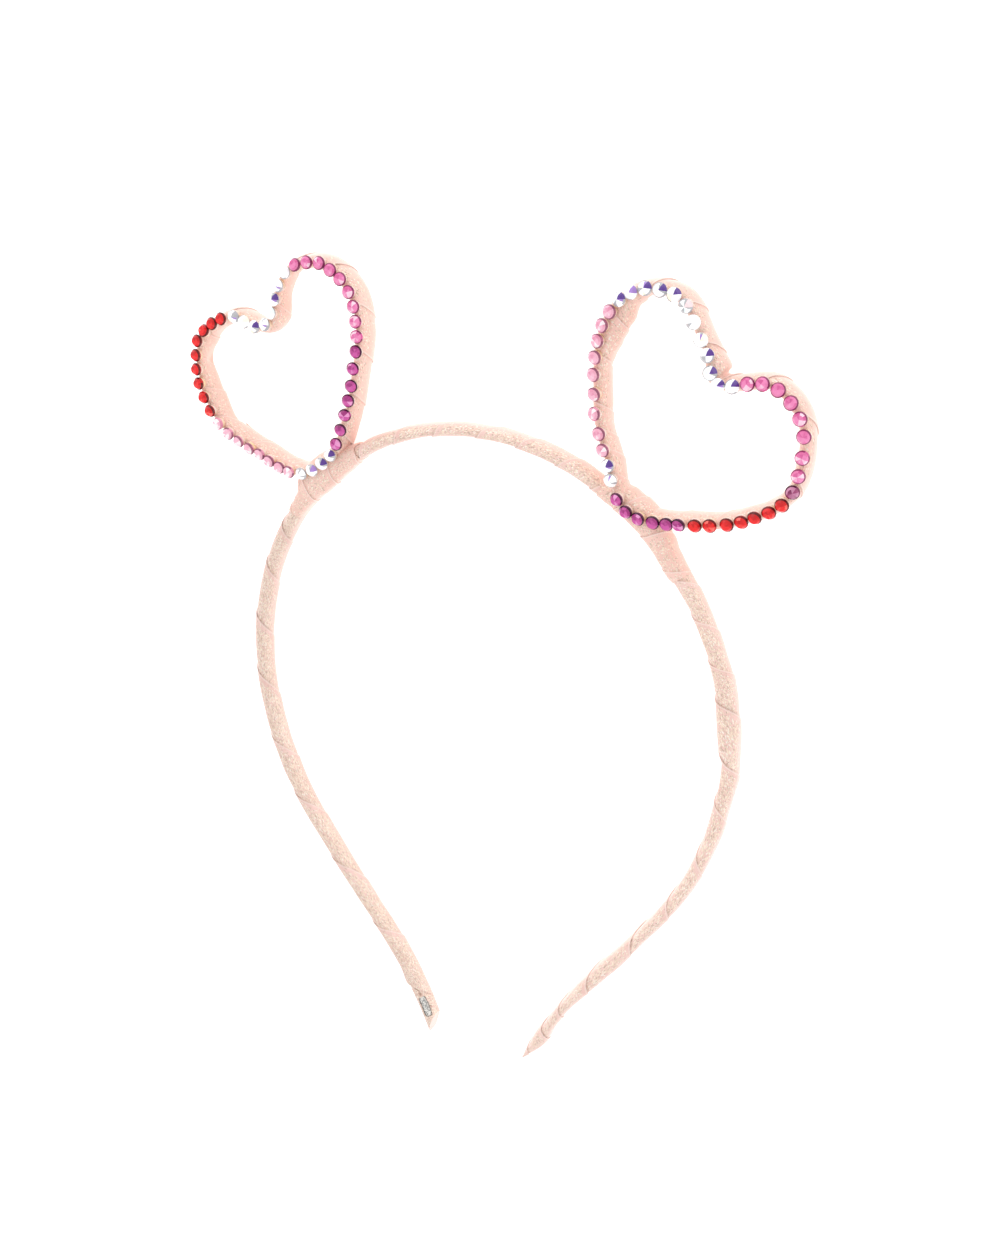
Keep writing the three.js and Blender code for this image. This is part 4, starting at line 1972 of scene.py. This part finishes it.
@dataclass(frozen=True)
class StoneRun:
    """A run of stones of one colour, set in glue along a heart."""

    side: Side
    name: str
    slot: Slot
    places: tuple[float, ...]
    # For clear stones, the tint that each one's lit facets throw: painted reflection, in part the colour of
    # its coating.
    fires: tuple[Fire, ...] = ()
    # How much lighter than plain its upper facets are: a painted highlight.
    shine: float = 0.0
    seat: float = 6.6
    # How far off the row a stone is set, how it leans and how much that varies.
    off_row: tuple[float, float] = (-0.2, 0.05)
    lean: float = 9.0
    lean_spread: float = 4.0
    ribbon_front: float = 6.0
    glue_radii: tuple[float, float] = (1.36, 1.326)
    glue_sides: int = 14
    glue_over: float = 0.25
    cut: StoneCut = StoneCut()

    # Heights on the stone where its back ends, in the girdle, and where girdle and crown end.
    BACK_TOP = 0.3
    GIRDLE_MIDDLE = 0.4
    GIRDLE_TOP = 0.6
    CROWN_TOP = 1.1
    # Wedges of facets that share a draw, and how far on the other draw is taken from.
    WEDGES = 8
    OTHER_WEDGE = 3
    # Ways in degrees from the row's X axis: the side of coloured stones painted darker as shade, and the
    # painted fire of clear ones.
    DARK_WAY = 100.0
    FIRE_WAY = 35.0
    # Degrees off the fire: it shows within the first, and other tints within the second and past the third.
    FIRE_HALF = 33.0
    FIRE_BESIDE = 58.0
    FIRE_OPPOSITE = 110.0
    # Painted shade and highlights for each ring of facets; the girdle's glints are painted highlights.
    BACK_TONE = FacetTone(0.12, 0.15)
    GIRDLE_TONE = FacetTone(0.02, 0.08)
    GLINT_TONE = FacetTone(0.02, 0.35)
    GLINT_ABOVE = 0.85
    CROWN_TONE = FacetTone(0.3, 0.4, 0.15, 0.95, 0.88)
    TABLE_TONE = FacetTone(0.38, 0.34, 0.2, 0.92, 0.93)
    # Tints of the facets of clear stones, each with the draw that it is taken up to.
    GIRDLE_TINTS = ((0.55, Fire.GREY),)
    BESIDE_TINTS = ((0.2, Fire.LAVENDER), (0.5, Fire.GREY))
    OPPOSITE_TINTS = ((0.12, Fire.MINT), (0.25, Fire.YELLOW), (0.35, Fire.GREY))

    def build(self, path: HeartPath, finishes: Finishes) -> None:
        """Build the run.

        Args:
            path: The heart's outline.
            finishes: The band's materials.
        """
        word = f"{self.side.word}_stones_{self.name}"
        draw = Random(word)
        bm = bmesh.new()
        facet = bm.faces.layers.float.new(FACET_ATTRIBUTE)
        for s, fire in zip_longest(self.places, self.fires):
            spot = path.at(s)
            place = Matrix.Translation(spot.beside(draw.uniform(*self.off_row), self.seat))
            place @= Matrix.Rotation(spot.turn, 4, "Z")
            for lean, axis in ((self.lean, "X"), (0.0, "Y")):
                place @= Matrix.Rotation(math.radians(draw.gauss(lean, self.lean_spread)), 4, axis)
            stand = place @ Matrix.Rotation(draw.uniform(0.0, math.tau), 4, "Z")
            faces = self.cut.add(bm)
            self.tint(faces, facet, draw, stand.to_3x3(), fire)
            corners = list({vert for face in faces for vert in face.verts})
            bmesh.ops.transform(bm, matrix=stand, verts=corners)
            self.add_glue(bm, place)
        for vert in bm.verts:
            vert.co = to_row(vert.co)
        finish_piece(bm, f"{word}_set", word, self.slot, finishes.stones[self.slot], finishes.glue)

    def tint(
        self,
        faces: Sequence[bmesh.types.BMFace],
        facet: Any,
        draw: Random,
        stand: Matrix,
        fire: Fire | None,
    ) -> None:
        """Give each facet its tone, which paints its shade and highlights.

        Args:
            faces: The stone's faces, before it is turned and placed.
            facet: The layer that keeps the tone.
            draw: Seeded draws.
            stand: How the stone will be turned, so that its fire keeps one direction.
            fire: The tint of a clear stone's lit facets.
        """
        chances = [draw.random() for _ in range(self.WEDGES)]
        for face in faces:
            middle = face.calc_center_median()
            turned = stand @ Vector((middle.x, middle.y, 0.0))
            angle = math.degrees(math.atan2(turned.y, turned.x))
            wedge = int(math.degrees(math.atan2(middle.y, middle.x)) % 360.0 // (360.0 / self.WEDGES))
            if fire is None:
                other = chances[(wedge + self.OTHER_WEDGE) % self.WEDGES]
                tone = self.tone(middle.z, angle, chances[wedge], other)
                face[facet] = tone + (self.shine if middle.z > self.GIRDLE_TOP else 0.0)
            else:
                face[facet] = self.aurora(middle.z, angle, fire, chances[wedge]).value

    def tone(self, height: float, angle: float, chance: float, other: float) -> float:
        """Return a coloured facet's tone.

        Args:
            height: How high the facet is on the stone.
            angle: The way it looks, in degrees from the row's X axis.
            chance: A seeded draw from 0 to 1.
            other: Another one.

        Returns:
            0 for the rim's painted shade to 1 for a painted highlight.
        """
        shaded = math.cos(math.radians(angle - self.DARK_WAY))
        if height < self.BACK_TOP:
            return self.BACK_TONE.at(chance, chance, shaded)
        if height < self.GIRDLE_TOP:
            girdle = self.GLINT_TONE if other > self.GLINT_ABOVE else self.GIRDLE_TONE
            return girdle.at(chance, chance, shaded)
        if height < self.CROWN_TOP:
            return self.CROWN_TONE.at(chance, chance, shaded)
        return self.TABLE_TONE.at(chance, other, shaded)

    def aurora(self, height: float, angle: float, fire: Fire, chance: float) -> Fire:
        """Return a clear facet's tint, painted as reflection and shade by the way that it looks.

        Args:
            height: How high the facet is on the stone.
            angle: The way it looks, in degrees from the row's X axis.
            fire: The tint of the stone's lit facets.
            chance: A seeded draw for the facet, from 0 to 1.

        Returns:
            The tint.
        """
        off = abs((angle - self.FIRE_WAY + 180.0) % 360.0 - 180.0)
        if height < self.GIRDLE_MIDDLE:
            return Fire.SHADE
        if off < self.FIRE_HALF:
            return fire
        tints = ()
        if height < self.GIRDLE_TOP:
            tints = self.GIRDLE_TINTS
        elif off < self.FIRE_BESIDE:
            tints = self.BESIDE_TINTS
        elif off > self.FIRE_OPPOSITE:
            tints = self.OPPOSITE_TINTS
        return next((tint for limit, tint in tints if chance < limit), Fire.WHITE)

    def add_glue(self, bm: bmesh.types.BMesh, place: Matrix) -> None:
        """Add the bead of glue round a stone's back.

        Args:
            bm: The run's mesh.
            place: Where the stone stands.
        """
        depth = self.seat - self.ribbon_front + self.glue_over
        before = set(bm.faces)
        below, above = self.glue_radii
        bmesh.ops.create_cone(
            bm,
            cap_ends=True,
            segments=self.glue_sides,
            radius1=below,
            radius2=above,
            depth=depth,
            matrix=place @ Matrix.Translation((0.0, 0.0, self.glue_over - depth / 2.0)),
        )
        for face in bm.faces:
            if face not in before:
                face.material_index = 1
                face.smooth = len(face.verts) == 4


class Studio:
    """The pale floor, the soft light and the camera."""

    # Where the camera stands, in metres, and the ways that its right, its top and its back look.
    EYE = (0.14589, 0.14108, 0.26882)
    RIGHT = (0.88327, -0.00162, -0.46886)
    UP = (-0.17591, 0.92580, -0.33459)
    BACK = (0.43461, 0.37801, 0.81745)
    LENS = 43.30
    SENSOR = 36.0
    # The nearest that the camera sees, in metres.
    NEAREST = 0.01
    # The way to the white room's bright side, and how light its other side is beside that.
    BRIGHT_SIDE = (-0.62, 0.44, 0.65)
    DIMMEST = 0.6
    SKY_STRENGTH = 1.06
    # The floor's height and half its width, in metres.
    FLOOR = -0.0002
    FLOOR_HALF = 3.0
    FLOOR_COLOUR = (0.92, 0.93, 0.93)
    FLOOR_GLOW = 0.55
    # Name, place and width in metres, and strength in watts.
    LAMPS = (("top", (-0.6, 0.85, 0.5), 0.9, 2.2), ("side", (0.6, -0.55, 0.35), 0.6, 1.2))

    def build(self) -> None:
        """Build everything that isn't part of the band."""
        self.camera()
        self.floor()
        self.sky()
        for lamp in self.LAMPS:
            self.lamp(*lamp)
        settings = bpy.context.scene.view_settings
        settings.view_transform = "Standard"
        settings.look = "None"
        LOG.info("studio: camera, floor and lamps")

    def camera(self) -> None:
        """Put the camera at the photograph's viewing angle."""
        data = bpy.data.cameras.new("camera")
        data.lens = self.LENS
        data.sensor_width = self.SENSOR
        data.clip_start = self.NEAREST
        view = link("camera", data)
        axes = Matrix((self.RIGHT, self.UP, self.BACK)).transposed().to_4x4()
        view.matrix_world = Matrix.Translation(self.EYE) @ axes
        bpy.context.scene.camera = view

    def floor(self) -> None:
        """Lay a plain white floor that glows a little, as a light table does."""
        bm = bmesh.new()
        place = Matrix.Translation((0.0, 0.0, self.FLOOR))
        bmesh.ops.create_grid(bm, x_segments=1, y_segments=1, size=self.FLOOR_HALF, matrix=place)
        mesh = bpy.data.meshes.new("floor")
        bm.to_mesh(mesh)
        bm.free()
        made, sketch, shader = new_material("white_floor")
        sketch.give(
            shader,
            Base_Color=self.FLOOR_COLOUR,
            Roughness=0.9,
            Specular_IOR_Level=0.0,
            Emission_Color=(1.0, 1.0, 1.0),
            Emission_Strength=self.FLOOR_GLOW,
        )
        mesh.materials.append(made)
        link("floor", mesh)

    def sky(self) -> None:
        """Light the scene from a white room that is a little greyer on its near right side."""
        world = bpy.data.worlds.new("white_room")
        bpy.context.scene.world = world
        world.use_nodes = True
        sketch = Sketch(world.node_tree)
        towards = sketch.node("ShaderNodeVectorMath", operation="DOT_PRODUCT")
        sketch.feed(towards.inputs[0], sketch.node("ShaderNodeTexCoord").outputs["Generated"])
        sketch.feed(towards.inputs[1], self.BRIGHT_SIDE)
        shade = sketch.span(towards.outputs["Value"], -1.0, 1.0, self.DIMMEST, 1.0)
        sketch.give(world.node_tree.nodes["Background"], Color=shade, Strength=self.SKY_STRENGTH)

    def lamp(self, name: str, place: tuple[float, float, float], size: float, power: float) -> None:
        """Add a soft lamp that looks at the band.

        Args:
            name: The lamp's name.
            place: Where it stands, in metres.
            size: Its width in metres.
            power: Its strength in watts.
        """
        data = bpy.data.lights.new(name, "AREA")
        data.energy = power
        data.size = size
        lamp = link(name, data)
        lamp.location = place
        lamp.rotation_euler = (-Vector(place)).to_track_quat("-Z", "Y").to_euler()


# Places on each heart's outline, anticlockwise from its foot.
LEFT_OUTLINE = (
    *((-43.2, -14.0), (-34.8, -8.8), (-30.9, -1.4), (-28.1, 8.7), (-26.4, 19.2)),
    *((-28.6, 28.0), (-36.0, 32.4), (-44.3, 29.3), (-50.3, 17.8), (-59.7, 19.1)),
    *((-68.2, 13.3), (-68.8, 3.0), (-64.0, -5.4), (-54.6, -10.4)),
)
RIGHT_OUTLINE = (
    *((33.2, -8.1), (38.4, -12.1), (49.6, -11.7), (58.8, -9.6), (68.4, -3.3), (70.1, 9.5), (63.7, 17.1)),
    *((53.0, 16.2), (50.4, 22.6), (44.6, 31.8), (35.4, 31.9), (29.1, 24.0), (28.4, 9.1), (31.5, -2.0)),
)
# Along each outline, where the laps' open edges cross the front.
LEFT_HEART_LAPS = (
    *(-4.0, 6.5, 16.4, 26.0, 36.0, 45.5, 55.0, 64.0, 73.0),
    *(82.0, 90.0, 97.0, 104.0, 111.0, 118.5, 128.0, 137.0, 146.0),
)
RIGHT_HEART_LAPS = (
    *(-5.0, 4.0, 13.0, 22.0, 31.4, 42.5, 55.5, 64.5, 73.5),
    *(82.0, 90.0, 97.6, 107.0, 116.0, 125.5, 134.5, 144.0, 152.0),
)
LEFT_FOLDS = ((43.0, 0.0), (52.0, 0.8), (60.0, 0.0), (66.0, -0.7), (72.0, -0.9), (77.0, 0.7), (83.0, 0.0))
RIGHT_FOLDS = (
    *((97.0, 0.0), (102.0, 1.0), (107.0, 2.7), (110.5, 2.5), (113.5, 2.0)),
    *((117.0, 0.9), (121.0, 0.4), (126.0, 0.4), (132.0, -0.3), (139.0, 0.0)),
)
LEFT_HEART_SWELLINGS = (
    Swelling(95.0, 100.0, 103.0, -20.0, 0.2),
    Swelling(101.0, 106.0, 111.0, -35.0, -1.2),
    Swelling(110.0, 114.5, 118.0, -20.0, 0.3),
    Swelling(117.0, 121.0, 126.0, -35.0, -0.6),
)
RIGHT_HEART_SWELLINGS = (
    Swelling(73.0, 76.6, 80.4, 180.0, 1.5),
    Swelling(116.5, 118.7, 121.5, -10.0, -0.4),
)
LEFT_JOINT_ROWS = (
    (30.5, 1.75, 1.75, 5.1),
    (33.0, 2.1, 2.4, 5.3),
    (36.0, 2.5, 3.7, 5.7),
    (40.0, 2.8, 4.7, 5.95),
    (44.0, 2.7, 4.9, 5.95),
    (47.0, 2.3, 4.3, 5.7),
    (50.0, 1.95, 2.4, 5.4),
    (54.5, 1.75, 1.75, 5.1),
)
RIGHT_JOINT_ROWS = (
    (30.5, 1.8, 1.9, 5.1),
    (32.5, 1.9, 3.0, 5.3),
    (36.0, 1.6, 4.3, 5.7),
    (40.0, 1.4, 4.8, 5.95),
    (44.0, 1.3, 4.5, 5.95),
    (47.0, 1.6, 3.2, 5.7),
    (50.0, 2.0, 2.2, 5.4),
    (53.5, 2.1, 1.8, 5.2),
    (54.5, 1.8, 1.8, 5.1),
)

STONE_RUNS = (
    StoneRun(
        Side.LEFT,
        "crystal_low",
        Slot.CRYSTAL,
        (0.9, 4.0, 7.2, 10.4),
        (Fire.WHITE, Fire.LAVENDER, Fire.VIOLET, Fire.VIOLET),
    ),
    StoneRun(Side.LEFT, "fuchsia", Slot.FUCHSIA, (13.6, 17.2, 20.8, 24.2, 27.6, 31.4, 35.2)),
    StoneRun(Side.LEFT, "rose", Slot.ROSE, (38.4, 41.5, 44.6, 47.7, 50.9, 53.8, 56.7, 59.8, 62.9)),
    StoneRun(
        Side.LEFT,
        "crystal_top",
        Slot.CRYSTAL,
        (66.1, 69.6, 72.9, 76.0, 79.2, 82.4, 85.3, 88.1),
        (
            *(Fire.WHITE, Fire.WHITE, Fire.VIOLET, Fire.MINT),
            *(Fire.WHITE, Fire.VIOLET, Fire.YELLOW, Fire.GREY),
        ),
    ),
    StoneRun(Side.LEFT, "red", Slot.RED, (91.6, 94.5, 97.5, 100.6, 103.9, 107.1, 110.3, 113.5, 116.8)),
    StoneRun(
        Side.LEFT,
        "pale_pink",
        Slot.PALE_PINK,
        (120.2, 123.4, 126.6, 129.7, 132.6, 135.4, 138.3, 140.9),
        shine=0.22,
    ),
    StoneRun(Side.RIGHT, "fuchsia", Slot.FUCHSIA, (0.8, 3.8, 6.7, 9.8, 12.7, 15.3)),
    StoneRun(Side.RIGHT, "red", Slot.RED, (18.6, 21.7, 25.2, 28.2, 31.1, 34.1, 37.1)),
    StoneRun(Side.RIGHT, "amethyst", Slot.AMETHYST, (40.4,)),
    StoneRun(Side.RIGHT, "rose", Slot.ROSE, (43.7, 47.3, 51.3, 54.6, 57.9, 61.2, 64.3, 67.2)),
    StoneRun(
        Side.RIGHT,
        "crystal_top",
        Slot.CRYSTAL,
        (70.2, 73.1, 76.2, 79.5, 82.6, 86.1, 89.4, 92.4, 95.3, 98.3, 101.2, 104.0),
        (
            *(Fire.VIOLET, Fire.VIOLET, Fire.VIOLET, Fire.VIOLET, Fire.YELLOW, Fire.WHITE),
            *(Fire.PINK, Fire.VIOLET, Fire.VIOLET, Fire.VIOLET, Fire.LAVENDER, Fire.VIOLET),
        ),
    ),
    StoneRun(
        Side.RIGHT,
        "pale_pink",
        Slot.PALE_PINK,
        (107.1, 110.2, 113.4, 116.6, 120.0, 123.8, 127.7, 131.7, 135.0),
    ),
    StoneRun(Side.RIGHT, "crystal_low", Slot.CRYSTAL, (138.2, 141.2), (Fire.VIOLET, Fire.WHITE)),
)


def plain(corners: Sequence[Vector]) -> list[list[float]]:
    """Return a box's corners as plain lists."""
    return [[float(x) for x in corner] for corner in corners]


def main() -> None:
    """Build the headband's pieces in order, then the studio."""
    logging.basicConfig(level=logging.INFO, format="%(name)s %(message)s")
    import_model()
    finishes = Finishes()
    hoop = WoundHoop()
    hoop.build(finishes)
    for side, outline, laps, folds, swellings, rows in (
        (Side.LEFT, LEFT_OUTLINE, LEFT_HEART_LAPS, LEFT_FOLDS, LEFT_HEART_SWELLINGS, LEFT_JOINT_ROWS),
        (Side.RIGHT, RIGHT_OUTLINE, RIGHT_HEART_LAPS, RIGHT_FOLDS, RIGHT_HEART_SWELLINGS, RIGHT_JOINT_ROWS),
    ):
        path = HeartPath(outline)
        joint = JointBinding(side, hoop, rows)
        joint.build(finishes)
        HeartFrame(side, path, joint, laps, folds, swellings).build(finishes)
        for run in STONE_RUNS:
            if run.side is side:
                run.build(path, finishes)
    Studio().build()


if __name__ == "__main__":
    main()
